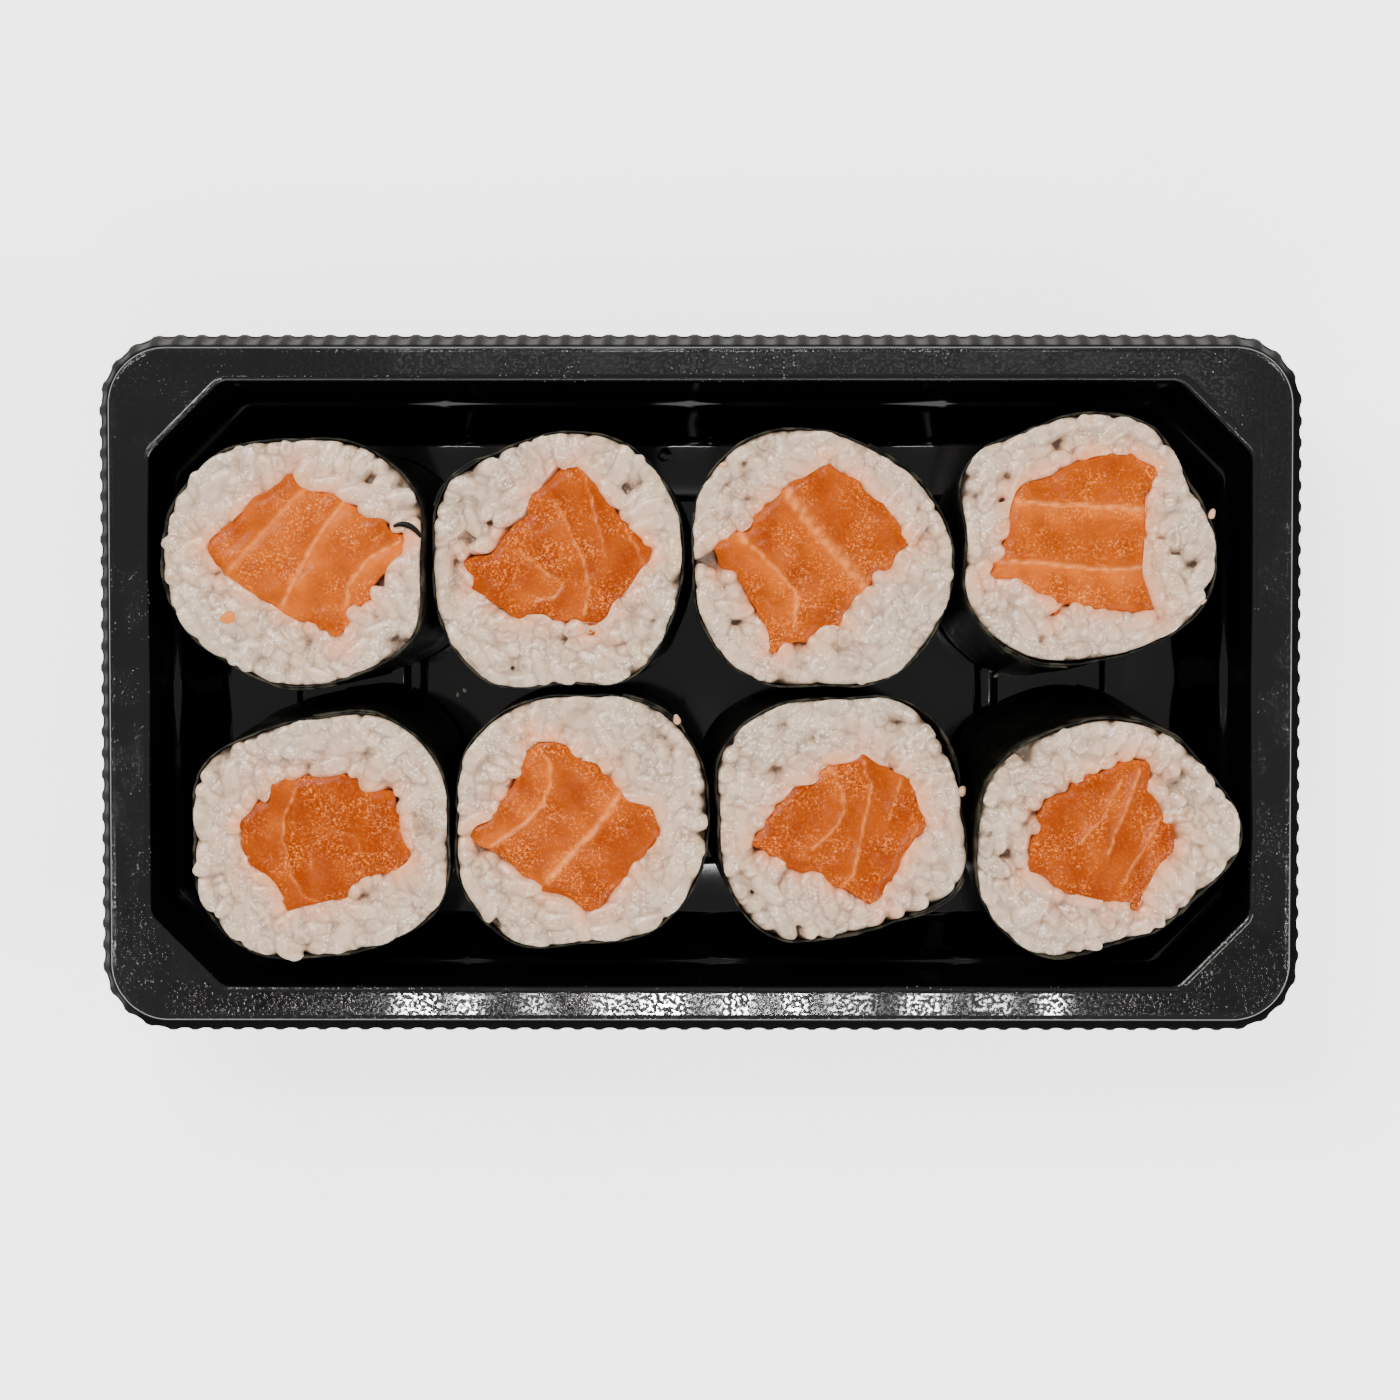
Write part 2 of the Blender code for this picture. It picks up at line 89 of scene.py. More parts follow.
# Rolls: how they stand, and the sizes of what they are made of
FOOT_Z = 1.8
ROLL_HEIGHT = 25.0
TILT_SHARE = 0.5
NORI_SHEET = 0.25
NORI_OVERLAP_DEG = 28.0
NORI_DROP = 0.8
NORI_COLUMNS = 176
NORI_ROWS = 26
NORI_GAP = 0.06
NORI_MEAN_RADIUS = 16.0
GRAIN_WIDTH = 2.5
GRAIN_THICKNESS = 2.3
GRAIN_LENGTH = 5.0
GRAIN_VOXEL = 0.19
GRAIN_LAYERS = ((0.0, 6.9, 1.18), (-0.5, 7.4, 1.14))
GRAIN_SHARE_KEPT = 0.68
GRAIN_PRESSED = 0.9
STEEP_GRAINS = 0.5
STEEP_DIP_DEG = (35, 80)
FLAT_DIP_DEG = 13
SETTLE_STEPS = 160
RICE_COLUMNS = 72
RICE_BED = (-4.6, -2.3)
RICE_CORE_TOP = -4.0
PAINT_CHUNK = 6000
DEPTH_NUDGE = 0.05
CUT_SOFTENS = -0.75
CUT_ROUND = 0.5
RICE_OVER_NORI = 0.4
RICE_OVER_SALMON = 0.3
SALMON_VOXEL = 0.26
SALMON_DROP = 0.3
SALMON_TOP_FOOT = -4.0
SALMON_CORE_TOP = -3.6

# The rolls, named as their solids are. radii are of the cut face every 30 degrees from +X; salmon is
# the fish's outline; seams are the pale lines between its flakes: width, strength, points.
ROLLS = {
    "back_1": {
        "top": (-50.5, 15.0), "foot": (-45.3, 14.6), "foot_scale": 0.92, "seam_deg": 262.0,
        "radii": (15.8, 17.4, 16.8, 15.3, 16.3, 16.7, 16.4, 15.5, 14.5, 14.9, 15.6, 17.2),
        "salmon": (
            (-0.1, 11.6), (-2.6, 9.8), (-5.3, 8.0), (-8.5, 5.0), (-10.4, 3.7), (-11.5, 2.3), (-9.8, -0.4),
            (-6.3, -3.2), (-3.3, -4.7), (-0.9, -6.7), (1.6, -7.2), (3.8, -8.0), (4.9, -9.8), (6.6, -9.8),
            (6.9, -7.2), (7.0, -5.6), (9.8, -4.4), (10.2, -2.1), (12.9, 0.3), (14.6, 3.5), (12.2, 4.3),
            (11.0, 5.9), (8.8, 6.0), (5.2, 9.2), (1.4, 9.5),
        ),
        "seams": (
            (0.55, 0.55, ((-8.6, -1.4), (-3.3, 4.4), (1.5, 9.4))),
            (0.4, 0.9, ((-1.6, -5.6), (2.1, 1.8), (4.3, 5.0), (6.7, 8.2))),
            (0.35, 1.0, ((6.7, -6.0), (7.0, -2.4), (9.6, 0.8), (14.4, 3.4))),
        ),
    },
    "back_2": {
        "top": (-17.1, 15.8), "foot": (-14.8, 15.1), "foot_scale": 0.92, "seam_deg": 130.0,
        "radii": (14.8, 15.5, 16.0, 15.5, 15.2, 16.9, 15.9, 17.0, 17.7, 15.3, 16.9, 15.3),
        "salmon": (
            (1.6, 11.7), (-0.4, 11.1), (-2.1, 9.1), (-4.1, 7.9), (-4.3, 5.1), (-6.0, 4.4), (-7.8, 2.2),
            (-9.0, 0.4), (-11.0, 0.3), (-12.7, -0.5), (-11.2, -2.3), (-11.5, -4.0), (-8.3, -5.7),
            (-6.3, -7.5), (-2.1, -7.1), (-1.4, -8.2), (2.3, -7.7), (2.8, -9.7), (4.1, -9.6), (4.3, -8.4),
            (5.8, -7.7), (6.5, -5.7), (8.5, -4.0), (10.0, -1.5), (11.5, 0.0), (9.6, 3.2), (7.8, 4.4),
            (5.6, 7.4), (3.3, 10.6),
        ),
        "seams": (
            (0.3, 0.8, ((-0.8, 7.1), (0.4, 4.9), (1.5, 1.9), (3.1, -1.4), (3.4, -3.5), (2.8, -6.8))),
            (0.25, 0.55, ((2.8, 10.6), (3.4, 7.9), (4.6, 3.7), (5.5, 0.1))),
            (0.35, 0.8, ((-5.3, 1.0), (-3.5, -0.5), (-1.4, -2.3), (0.4, -2.9), (-0.8, -4.7), (-3.2, -5.3))),
            (0.25, 0.5, ((7.9, 3.4), (9.4, 1.0), (10.3, -1.1))),
        ),
    },
    "back_3": {
        "top": (15.1, 15.5), "foot": (14.7, 15.1), "foot_scale": 0.92, "seam_deg": 40.0,
        "radii": (16.2, 15.6, 15.0, 15.9, 17.4, 17.2, 15.8, 16.6, 16.8, 15.3, 16.6, 16.3),
        "salmon": (
            (0.7, 12.4), (-2.0, 10.8), (-5.2, 8.6), (-8.4, 5.9), (-9.2, 4.1), (-11.4, 3.3), (-13.4, 1.9),
            (-12.9, -0.8), (-10.4, -1.8), (-9.4, -4.2), (-6.9, -8.7), (-6.7, -11.2), (-5.6, -12.1),
            (-4.5, -10.2), (-1.5, -10.0), (0.0, -8.0), (2.7, -8.2), (2.9, -6.7), (3.9, -5.0), (5.9, -3.5),
            (6.6, -1.5), (8.9, -1.0), (9.6, 1.1), (11.8, 1.9), (10.1, 3.2), (9.4, 5.1), (7.9, 7.1),
            (5.7, 8.6), (4.7, 10.3), (1.5, 11.3),
        ),
        "seams": (
            (0.45, 1.0, ((-10.4, 3.2), (-7.6, 0.7), (-4.9, -2.0), (-3.1, -4.4), (-3.4, -7.7))),
            (1.1, 0.75, ((-4.3, 8.5), (-1.3, 4.3), (1.7, 1.0), (4.1, -1.7), (5.3, -3.5))),
        ),
    },
    "back_4": {
        "top": (48.3, 18.5), "foot": (45.2, 15.0), "foot_scale": 0.92, "seam_deg": 232.0,
        "radii": (15.4, 14.0, 15.6, 15.3, 15.1, 17.5, 15.2, 17.1, 16.6, 15.0, 15.1, 16.3),
        "salmon": (
            (0.5, 10.4), (-2.2, 9.0), (-5.2, 7.8), (-8.1, 7.1), (-9.4, 6.1), (-10.3, 3.6), (-10.3, 0.6),
            (-10.8, -2.3), (-12.1, -3.1), (-13.4, -5.4), (-10.8, -5.0), (-8.4, -5.5), (-6.6, -6.8),
            (-4.4, -7.8), (-4.3, -10.2), (-3.2, -8.2), (-0.2, -8.6), (0.8, -9.2), (5.7, -9.0), (8.2, -9.5),
            (7.2, -6.0), (6.7, -4.0), (7.2, 0.6), (7.2, 5.1), (8.2, 6.6), (8.7, 8.8), (7.2, 9.5),
            (5.1, 10.5),
        ),
        "seams": (
            (0.5, 1.0, ((-9.7, 4.5), (-4.9, 4.0), (1.1, 3.7), (7.1, 3.4))),
            (0.45, 1.0, ((-10.9, -3.1), (-6.4, -3.2), (-1.6, -3.7), (2.6, -4.1), (6.4, -3.8))),
        ),
    },
    "front_1": {
        "top": (-47.1, -19.0), "foot": (-45.4, -15.0), "foot_scale": 0.92, "seam_deg": 65.0,
        "radii": (15.7, 17.1, 17.0, 14.8, 15.0, 16.9, 15.6, 17.0, 16.7, 14.8, 15.2, 16.8),
        "salmon": (
            (2.9, 8.3), (1.2, 7.8), (-3.3, 7.4), (-6.2, 6.9), (-6.7, 4.7), (-8.2, 4.5), (-9.0, 3.2),
            (-10.6, 2.0), (-9.5, -1.5), (-9.5, -3.6), (-6.7, -4.9), (-5.0, -7.4), (-4.6, -9.4),
            (-2.3, -9.0), (3.4, -7.6), (4.1, -5.9), (6.1, -4.9), (9.3, -4.4), (11.4, -2.9), (10.8, -1.2),
            (10.0, 1.3), (9.6, 4.2), (9.1, 5.8), (5.1, 5.7), (4.6, 7.4),
        ),
        "seams": (
            (0.3, 0.75, ((-2.9, 6.2), (-4.4, 3.1), (-4.7, 0.0), (-3.8, -4.5), (-2.2, -7.0), (-0.4, -8.2))),
            (0.25, 0.35, ((-1.2, -3.6), (-0.9, -0.8), (1.6, 1.1), (4.3, 0.3), (5.2, -2.1))),
        ),
    },
    "front_2": {
        "top": (-14.2, -16.5), "foot": (-14.9, -14.9), "foot_scale": 0.92, "seam_deg": 45.0,
        "radii": (15.2, 16.0, 16.1, 15.1, 16.2, 16.8, 15.8, 17.4, 17.8, 15.4, 16.2, 15.7),
        "salmon": (
            (-7.0, 11.2), (-7.5, 9.0), (-7.7, 7.1), (-8.7, 4.3), (-10.7, 1.9), (-11.7, 0.1), (-13.8, -0.6),
            (-14.5, -1.8), (-13.9, -3.2), (-11.7, -4.0), (-9.2, -5.8), (-7.5, -7.3), (-5.8, -8.5),
            (-4.3, -9.6), (-2.3, -9.9), (-0.1, -11.6), (1.9, -11.5), (2.9, -9.5), (4.9, -7.8), (6.3, -5.5),
            (9.1, -3.3), (9.3, -1.8), (8.8, 0.9), (7.6, 2.0), (5.1, 2.4), (4.1, 4.1), (2.6, 5.3),
            (1.9, 7.1), (-1.1, 7.8), (-2.0, 9.4), (-4.3, 10.1), (-5.8, 9.8),
        ),
        "seams": (
            (0.4, 1.0, ((-6.4, 9.7), (-4.6, 7.5), (-4.1, 5.0), (-5.2, 2.0), (-7.4, -0.5), (-10.1, -2.3),
                        (-11.7, -3.4))),
            (0.8, 0.9, ((4.3, 3.2), (2.8, 0.8), (0.9, -1.7), (-1.6, -4.2), (-3.4, -6.3), (-4.8, -8.0))),
        ),
    },
    "front_3": {
        "top": (17.5, -16.2), "foot": (14.1, -14.8), "foot_scale": 0.92, "seam_deg": 305.0,
        "radii": (15.1, 15.4, 16.1, 14.4, 15.7, 16.6, 14.9, 16.1, 17.1, 14.9, 14.9, 17.1),
        "salmon": (
            (2.7, 8.3), (2.2, 7.1), (-1.5, 6.6), (-3.2, 4.3), (-5.5, 4.1), (-6.2, 3.1), (-7.9, 1.6),
            (-9.2, 0.1), (-9.9, -2.1), (-11.9, -3.4), (-9.2, -4.5), (-7.2, -5.8), (-5.2, -7.1),
            (-2.2, -7.0), (-1.5, -8.5), (0.7, -9.2), (3.2, -10.8), (5.3, -11.8), (5.7, -9.0), (6.9, -8.0),
            (7.6, -5.8), (8.9, -4.0), (10.3, -2.1), (11.1, -0.6), (10.1, 0.9), (9.6, 3.1), (8.4, 5.2),
            (6.6, 5.8), (4.7, 6.8),
        ),
        "seams": (
            (0.3, 0.75, ((2.8, 6.6), (3.7, 4.1), (3.3, 0.8), (2.7, -2.0), (2.1, -5.1), (1.3, -7.6),
                         (0.0, -9.1))),
            (0.35, 0.8, ((-1.5, 6.3), (0.0, 3.8), (0.5, 0.8), (-0.3, -0.8), (-1.5, -2.3), (-3.4, -3.9))),
            (0.25, 0.6, ((7.4, 4.5), (6.8, 2.0), (6.1, -0.5))),
            (0.25, 0.5, ((9.7, -0.5), (9.0, -2.9), (7.7, -5.4))),
        ),
    },
    "front_4": {
        "top": (50.9, -19.0), "foot": (47.0, -13.6), "foot_scale": 0.88, "seam_deg": 52.0,
        "radii": (16.5, 14.8, 14.6, 14.6, 14.9, 16.6, 16.4, 17.5, 16.8, 13.5, 13.1, 13.6),
        "salmon": (
            (2.4, 10.0), (0.9, 9.2), (-1.8, 8.2), (-4.5, 7.2), (-5.3, 5.6), (-7.0, 5.2), (-8.2, 4.5),
            (-8.9, 3.0), (-9.0, 1.3), (-9.6, -0.2), (-10.0, -2.9), (-11.0, -4.3), (-9.2, -4.6),
            (-7.5, -5.6), (-5.8, -6.9), (-3.3, -7.6), (-0.1, -8.3), (2.4, -8.3), (3.4, -9.7), (4.6, -8.3),
            (4.6, -7.1), (5.6, -5.4), (6.6, -3.4), (8.3, -2.4), (8.5, -0.7), (8.3, 1.4), (7.0, 2.0),
            (6.3, 3.8), (4.8, 6.0), (5.2, 7.7), (5.0, 9.6),
        ),
        "seams": (
            (0.3, 0.6, ((1.4, 7.5), (0.1, 5.0), (-0.8, 2.5), (-2.6, 1.0), (-3.6, -0.6))),
            (0.3, 0.75, ((3.5, 8.6), (2.9, 6.2), (1.7, 3.1), (0.5, 0.7), (-0.1, -1.8))),
            (0.25, 0.6, ((6.3, 2.5), (5.4, 0.7), (4.1, -1.5), (2.6, -3.7), (2.0, -5.5))),
        ),
    },
}

# Studio, in metres and watts: two banks of square panels, each by its first panel, columns and power
OBJECT_MIDDLE = (0.0, 0.0, 0.02)
PANEL_BANKS = {"window": ((-0.72, 0.38, 0.75), 3, 1.85), "bounce": ((0.58, -0.53, 0.60), 2, 1.5)}
PANEL_SIZE = (0.12, 0.12)
PANEL_PITCH = (0.24, 0.26)
PANEL_COLOUR = "#fffaf4"
WORLD_GLOW = 0.5
FLOOR_GLOW = 2.2
CAMERA_PLACE = (0.002, 0.014, 0.442)
CAMERA_TARGET = (0.0, -0.0019, 0.022)

# A row of small lamps overhead whose reflections run along the front of the rim
LAMPS = 11
LAMP_PITCH = 0.032
LAMPS_SHIFT = 0.008
LAMP_SIZE = (0.016, 0.0128)
LAMP_POWER = 0.31
LAMP_Y, LAMP_Z = -0.2032, 1.282
LAMP_TARGET_Y, LAMP_TARGET_Z = -0.0403, 0.022

# Small dark gaps between the grains at the cut: across, up, half width
GAPS = {
    "back_1": ((8.6, 10.2, 0.7), (-9.5, -7.8, 0.5), (-4.4, -8.7, 0.4)),
    "back_2": ((8.3, 8.6, 0.4), (-4.0, -12.1, 0.3), (9.8, -10.6, 0.35)),
    "back_3": (
        (-14.0, 0.3, 1.0), (-11.7, 6.0, 0.3), (-9.7, 12.2, 0.4), (-10.8, -7.7, 0.8), (1.7, -11.0, 0.3),
    ),
    "back_4": ((-4.3, 11.3, 0.7), (-10.8, 4.9, 0.5), (-9.7, 7.4, 0.3), (-4.5, -9.4, 0.35)),
    "front_1": ((-12.1, 5.1, 0.5), (-4.3, 10.8, 0.3), (-5.8, -10.2, 0.4)),
    "front_2": ((12.4, 1.5, 0.6), (5.9, 9.5, 0.3), (9.2, -11.6, 0.35), (-9.6, -9.8, 0.45), (-7.2, 12.0, 0.5)),
    "front_3": ((7.6, 11.3, 0.7), (10.1, -5.9, 0.4), (-10.7, -9.4, 0.6), (9.0, -9.6, 0.4), (-7.2, -7.6, 0.5)),
    "front_4": (
        (-10.1, 9.5, 0.9), (-7.0, 10.7, 0.3), (6.4, 7.8, 0.6), (-12.7, -2.2, 0.5), (-14.0, -5.5, 0.4),
    ),
}

# Bits of rice stuck outside the seaweed's edge: across, up, length
STRAY_BITS = {
    "front_2": ((11.4, 12.3, 1.4),),
    "front_3": ((15.2, 3.0, 1.5),),
    "back_4": ((15.3, 2.9, 1.3), (14.1, -8.0, 1.0)),
    "back_3": ((-12.2, 11.9, 1.1),),
}

# How pale each roll's fish is, from 0 to 1
FISH_PALENESS = {
    "back_1": 0.36, "back_2": 0.04, "back_3": 0.2, "back_4": 0.28,
    "front_1": 0.0, "front_2": 0.16, "front_3": 0.04, "front_4": 0.04,
}

# Small loose things: on a roll by its name, across and up from its centre, or at a place in the tray
SEAWEED_STRAND = ("back_1", ((12.8, 4.7), (13.7, 5.2), (14.7, 5.1), (15.6, 4.4), (16.2, 3.4)))
SALMON_SCRAP = ("back_1", (-8.2, -6.6), 1.75)
WATER_DROP = ((-4.7, 29.4), 0.9)
STARCH_FLECKS = ((38.0, 1.2), (38.7, 0.5), (-31.9, -2.0), (-31.0, -1.4), (1.2, 31.0))
RIM_NICKS = ((69.6, -10.0, 12.0), (69.8, -11.0, 8.0))

# Where the seaweed stands away from the rice at the cut: roll, direction, half spread, distance
LOOSE_NORI = {"front_3": (34.0, 20.0, 0.75), "back_4": (255.0, 25.0, 0.3), "front_4": (110.0, 30.0, 0.25)}


# Small helpers for modelling


def deselect_all():
    if bpy.context.object and bpy.context.object.mode != "OBJECT":
        bpy.ops.object.mode_set(mode="OBJECT")
    bpy.ops.object.select_all(action="DESELECT")


def select_only(piece):
    deselect_all()
    bpy.context.view_layer.objects.active = piece
    piece.select_set(True)


def edit_mode(piece, select):
    select_only(piece)
    bpy.ops.object.mode_set(mode="EDIT")
    bpy.ops.mesh.select_mode(type=select)
    bpy.ops.mesh.select_all(action="DESELECT")


def object_mode():
    bpy.ops.object.mode_set(mode="OBJECT")


def apply_modifier(piece, kind, **settings):
    select_only(piece)
    modifier = piece.modifiers.new(kind.lower(), kind)
    for name, value in settings.items():
        setattr(modifier, name, value)
    bpy.ops.object.modifier_apply(modifier=modifier.name)


def new_piece(name):
    """The primitive that was just added, named and deselected."""
    piece = bpy.context.object
    piece.name = name
    piece.data.name = name
    deselect_all()
    return piece


def read_points(piece):
    found = np.empty(len(piece.data.vertices) * 3, np.float32)
    piece.data.vertices.foreach_get("co", found)
    return found.reshape(-1, 3).astype(float)


def write_points(piece, coordinates):
    piece.data.vertices.foreach_set("co", np.asarray(coordinates, np.float32).ravel())
    piece.data.update()


def write_attribute(piece, name, values):
    made = piece.data.attributes.new(name, "FLOAT", "POINT")
    made.data.foreach_set("value", np.asarray(values, np.float32))


def fill_attributes(piece, **values):
    """Gives each named attribute one value all over the piece."""
    for name, value in values.items():
        write_attribute(piece, name, np.full(len(piece.data.vertices), value))


def start_ring(name, outline, z, fill="NOTHING", unit=1.0):
    """A circle primitive laid onto an outline at a height."""
    bpy.ops.mesh.primitive_circle_add(vertices=len(outline), radius=1.0, fill_type=fill)
    piece = new_piece(name)
    write_points(piece, np.column_stack([np.asarray(outline), np.full(len(outline), z)]) * unit)
    return piece


def raise_faces(height):
    """In edit mode, extrudes every face upwards and closes the solid, its faces turned outwards."""
    bpy.ops.mesh.select_all(action="SELECT")
    bpy.ops.mesh.extrude_region_move(TRANSFORM_OT_translate={"value": (0.0, 0.0, height)})
    bpy.ops.mesh.select_all(action="SELECT")
    bpy.ops.mesh.normals_make_consistent(inside=False)
    object_mode()


def outline_solid(name, outline, low, high):
    """A closed prism with the outline's shape between two heights, in millimetres."""
    piece = start_ring(name, outline, low, "NGON")
    edit_mode(piece, "FACE")
    raise_faces(high - low)
    return piece


def ring_solid(name, outer, inner, low, high):
    """A closed ring between two outlines and two heights."""
    rings = [start_ring(f"{name}_{number}", outline, low) for number, outline in enumerate((outer, inner))]
    ring = join(rings, name)
    edit_mode(ring, "EDGE")
    bpy.ops.mesh.select_all(action="SELECT")
    bpy.ops.mesh.fill(use_beauty=True)
    raise_faces(high - low)
    return ring


def join(pieces, name):
    deselect_all()
    for piece in pieces:
        piece.select_set(True)
    bpy.context.view_layer.objects.active = pieces[0]
    bpy.ops.object.join()
    return new_piece(name)


# Outlines, distances and random fields


def smooth_radius(radii, angles):
    """Radii at the angles, on a smooth closed curve through the given radii."""
    ring = np.asarray(radii)
    place = np.mod(angles, 2 * math.pi) / (2 * math.pi) * len(ring)
    step = np.floor(place).astype(int)
    t = place - step
    a, b, c, d = (ring[(step + k) % len(ring)] for k in (-1, 0, 1, 2))
    return b + 0.5 * t * (c - a + t * (2 * a - 5 * b + 4 * c - d + t * (3 * (b - c) + d - a)))


def rounded_outline(corners, spacing):
    """A closed outline through the corners with its bends eased, at an even spacing."""
    ring = np.asarray(corners, float)
    for _ in range(2):
        after = np.roll(ring, -1, axis=0)
        ring = np.stack([0.82 * ring + 0.18 * after, 0.18 * ring + 0.82 * after], axis=1).reshape(-1, 2)
    closed = np.vstack([ring, ring[:1]])
    run = np.concatenate([[0.0], np.cumsum(np.hypot(*np.diff(closed, axis=0).T))])
    count = int(run[-1] / spacing)
    wanted = np.arange(count) / count * run[-1]
    return np.column_stack([np.interp(wanted, run, closed[:, k]) for k in (0, 1)])


def path_distance(spots, path):
    """Distance of each spot to a path, and the side of the path it is on: 1 left, -1 right."""
    path = np.asarray(path, float)
    nearest = np.full(len(spots), 1e9)
    side = np.ones(len(spots))
    for a, b in zip(path[:-1], path[1:]):
        run = b - a
        along = np.clip(((spots - a) @ run) / (run @ run), 0.0, 1.0)
        off = spots - (a + along[:, None] * run)
        gap = np.hypot(off[:, 0], off[:, 1])
        closer = gap < nearest
        nearest = np.where(closer, gap, nearest)
        side = np.where(closer, np.sign(run[0] * off[:, 1] - run[1] * off[:, 0]), side)
    return nearest, side


def inside_outline(spots, outline):
    inside = np.zeros(len(spots), bool)
    x, y = spots[:, 0], spots[:, 1]
    for (ax, ay), (bx, by) in zip(outline, np.roll(outline, -1, axis=0)):
        crosses = (ay > y) != (by > y)
        height = by - ay if by != ay else 1e-9
        inside ^= crosses & (x < ax + (y - ay) * (bx - ax) / height)
    return inside


def outline_depth(spots, outline):
    """Distance to a closed outline: above 0 inside it, below 0 outside."""
    gap, _ = path_distance(spots, np.vstack([outline, outline[:1]]))
    return np.where(inside_outline(spots, outline), gap, -gap)


def depth_slope(spots, outline, depth):
    """How fast the depth inside an outline grows at each spot, across and up."""
    steps = ((DEPTH_NUDGE, 0), (0, DEPTH_NUDGE))
    return np.column_stack([outline_depth(spots + step, outline) - depth for step in steps]) / DEPTH_NUDGE


def cross_area(outline):
    x, y = np.asarray(outline).T
    return 0.5 * float(np.dot(x, np.roll(y, -1)) - np.dot(y, np.roll(x, -1)))


def rotation(axis, angle):
    c, s = math.cos(angle), math.sin(angle)
    turned = np.eye(3)
    a, b = [k for k in range(3) if k != axis]
    turned[a, a] = turned[b, b] = c
    turned[a, b], turned[b, a] = (-s, s) if axis != 1 else (s, -s)
    return turned


def ease(value, low, high):
    """A smooth step from 0 at low to 1 at high."""
    t = np.clip((value - low) / (high - low), 0.0, 1.0)
    return t * t * (3 - 2 * t)


def waves(spots, size, seed, count=7):
    """A smooth random field of about unit height, from a few plane waves of about the given size."""
    draw = np.random.default_rng(seed)
    total = np.zeros(len(spots))
    for _ in range(count):
        direction = draw.normal(size=spots.shape[1])
        direction /= np.linalg.norm(direction)
        length = size * draw.uniform(0.7, 1.5)
        total += np.sin(spots @ direction * 2 * math.pi / length + draw.uniform(0, 2 * math.pi))
    return total / math.sqrt(count / 2)


class Roll:
    """One roll's sizes, and its place in the tray."""

    def __init__(self, name, seed, sizes):
        self.name = name
        self.seed = seed
        self.radii = sizes["radii"]
        self.seam = math.radians(sizes["seam_deg"])
        self.salmon = rounded_outline(sizes["salmon"], 0.3)
        self.salmon_corners = np.asarray(sizes["salmon"])
        self.seams = sizes["seams"]
        self.foot = np.asarray(sizes["foot"])
        self.foot_scale = sizes["foot_scale"]
        self.shift = np.asarray(sizes["top"]) - self.foot
        self.gaps = np.array(GAPS[name])

    def edge(self, u, v):
        """Radius of the seaweed's inner face in the direction of each point."""
        return smooth_radius(self.radii, np.arctan2(v, u))

    def outline(self, grow, columns):
        angles = np.arange(columns) * 2 * math.pi / columns
        radii = smooth_radius(self.radii, angles) + grow
        return np.column_stack([radii * np.cos(angles), radii * np.sin(angles)])

    def place(self, piece):
        """Leans a piece modelled upright into its place in the tray, in metres."""
        local = read_points(piece)
        across, w = local[:, :2], local[:, 2]
        height = ROLL_HEIGHT - TILT_SHARE * (across @ self.shift) / ROLL_HEIGHT
        share = (1 + w / height)[:, None]
        spread = across * (self.foot_scale + (1 - self.foot_scale) * share)
        flat = self.foot + spread + self.shift * share
        write_points(piece, np.column_stack([flat, FOOT_Z + height + w]) * MM)


# Materials


def shade(code):
    """An sRGB hex colour as linear RGBA."""
    parts = [int(code[k:k + 2], 16) / 255 for k in (1, 3, 5)]
    linear = [p / 12.92 if p <= 0.04045 else ((p + 0.055) / 1.055) ** 2.4 for p in parts]
    return (*linear, 1.0)


def add(tree, kind, links=None, **settings):
    """Adds a node; settings are its properties, and links gives sockets a value or another's output."""
    node = tree.nodes.new(kind)
    for name, value in settings.items():
        setattr(node, name, value)
    for socket, value in (links or {}).items():
        if isinstance(value, bpy.types.NodeSocket):
            tree.links.new(value, node.inputs[socket])
        else:
            node.inputs[socket].default_value = value
    return node


def start_material(name, **inputs):
    made = bpy.data.materials.new(name)
    made.use_nodes = True
    tree = made.node_tree
    shader = tree.nodes["Principled BSDF"]
    for socket, value in inputs.items():
        shader.inputs[socket.replace("_", " ")].default_value = value
    return made, tree, shader


def per_mm(size):
    """Noise scale, in repeats a metre, of a pattern with the given size in millimetres."""
    return 1.0 / (size * MM)


def spots_node(tree, coordinates, size, low, high, detail=2.0):
    """Noise spots of a size in millimetres, spread between two levels to 0 and 1."""
    noise = add(tree, "ShaderNodeTexNoise", {"Vector": coordinates, "Scale": per_mm(size), "Detail": detail})
    ramp = {"Value": noise.outputs[0], "From Min": low, "From Max": high}
    return add(tree, "ShaderNodeMapRange", ramp).outputs[0]


def specks_node(tree, coordinates, size, share):
    """Round specks, one in a cell of a size in millimetres, in the given share of the cells."""
    cells = add(tree, "ShaderNodeTexVoronoi", {"Vector": coordinates, "Scale": per_mm(size)})
    near = add(tree, "ShaderNodeMapRange",
               {"Value": cells.outputs["Distance"], "From Min": 0.34, "From Max": 0.16}).outputs[0]
    chance = add(tree, "ShaderNodeSeparateColor", {0: cells.outputs["Color"]}).outputs[0]
    kept = add(tree, "ShaderNodeMath", {0: chance, 1: 1.0 - share}, operation="GREATER_THAN").outputs[0]
    return product(tree, near, kept)


def curls_node(tree, coordinates, size, width):
    """Fine curling lines, where noise of a size in millimetres passes its middle level."""
    noise = add(tree, "ShaderNodeTexNoise", {"Vector": coordinates, "Scale": per_mm(size), "Detail": 1.0})
    off = add(tree, "ShaderNodeMath", {0: noise.outputs[0], 1: 0.5}, operation="SUBTRACT").outputs[0]
    gap = add(tree, "ShaderNodeMath", {0: off}, operation="ABSOLUTE").outputs[0]
    ramp = {"Value": gap, "From Min": width, "From Max": 0.3 * width}
    return add(tree, "ShaderNodeMapRange", ramp).outputs[0]


def product(tree, *factors):
    """The product of numbers and outputs, where a word stands for the mesh attribute of that name."""
    total = None
    for factor in factors:
        if isinstance(factor, str):
            factor = add(tree, "ShaderNodeAttribute", attribute_name=factor).outputs["Fac"]
        if total is None:
            total = factor
        else:
            total = add(tree, "ShaderNodeMath", {0: total, 1: factor}, operation="MULTIPLY").outputs[0]
    return total


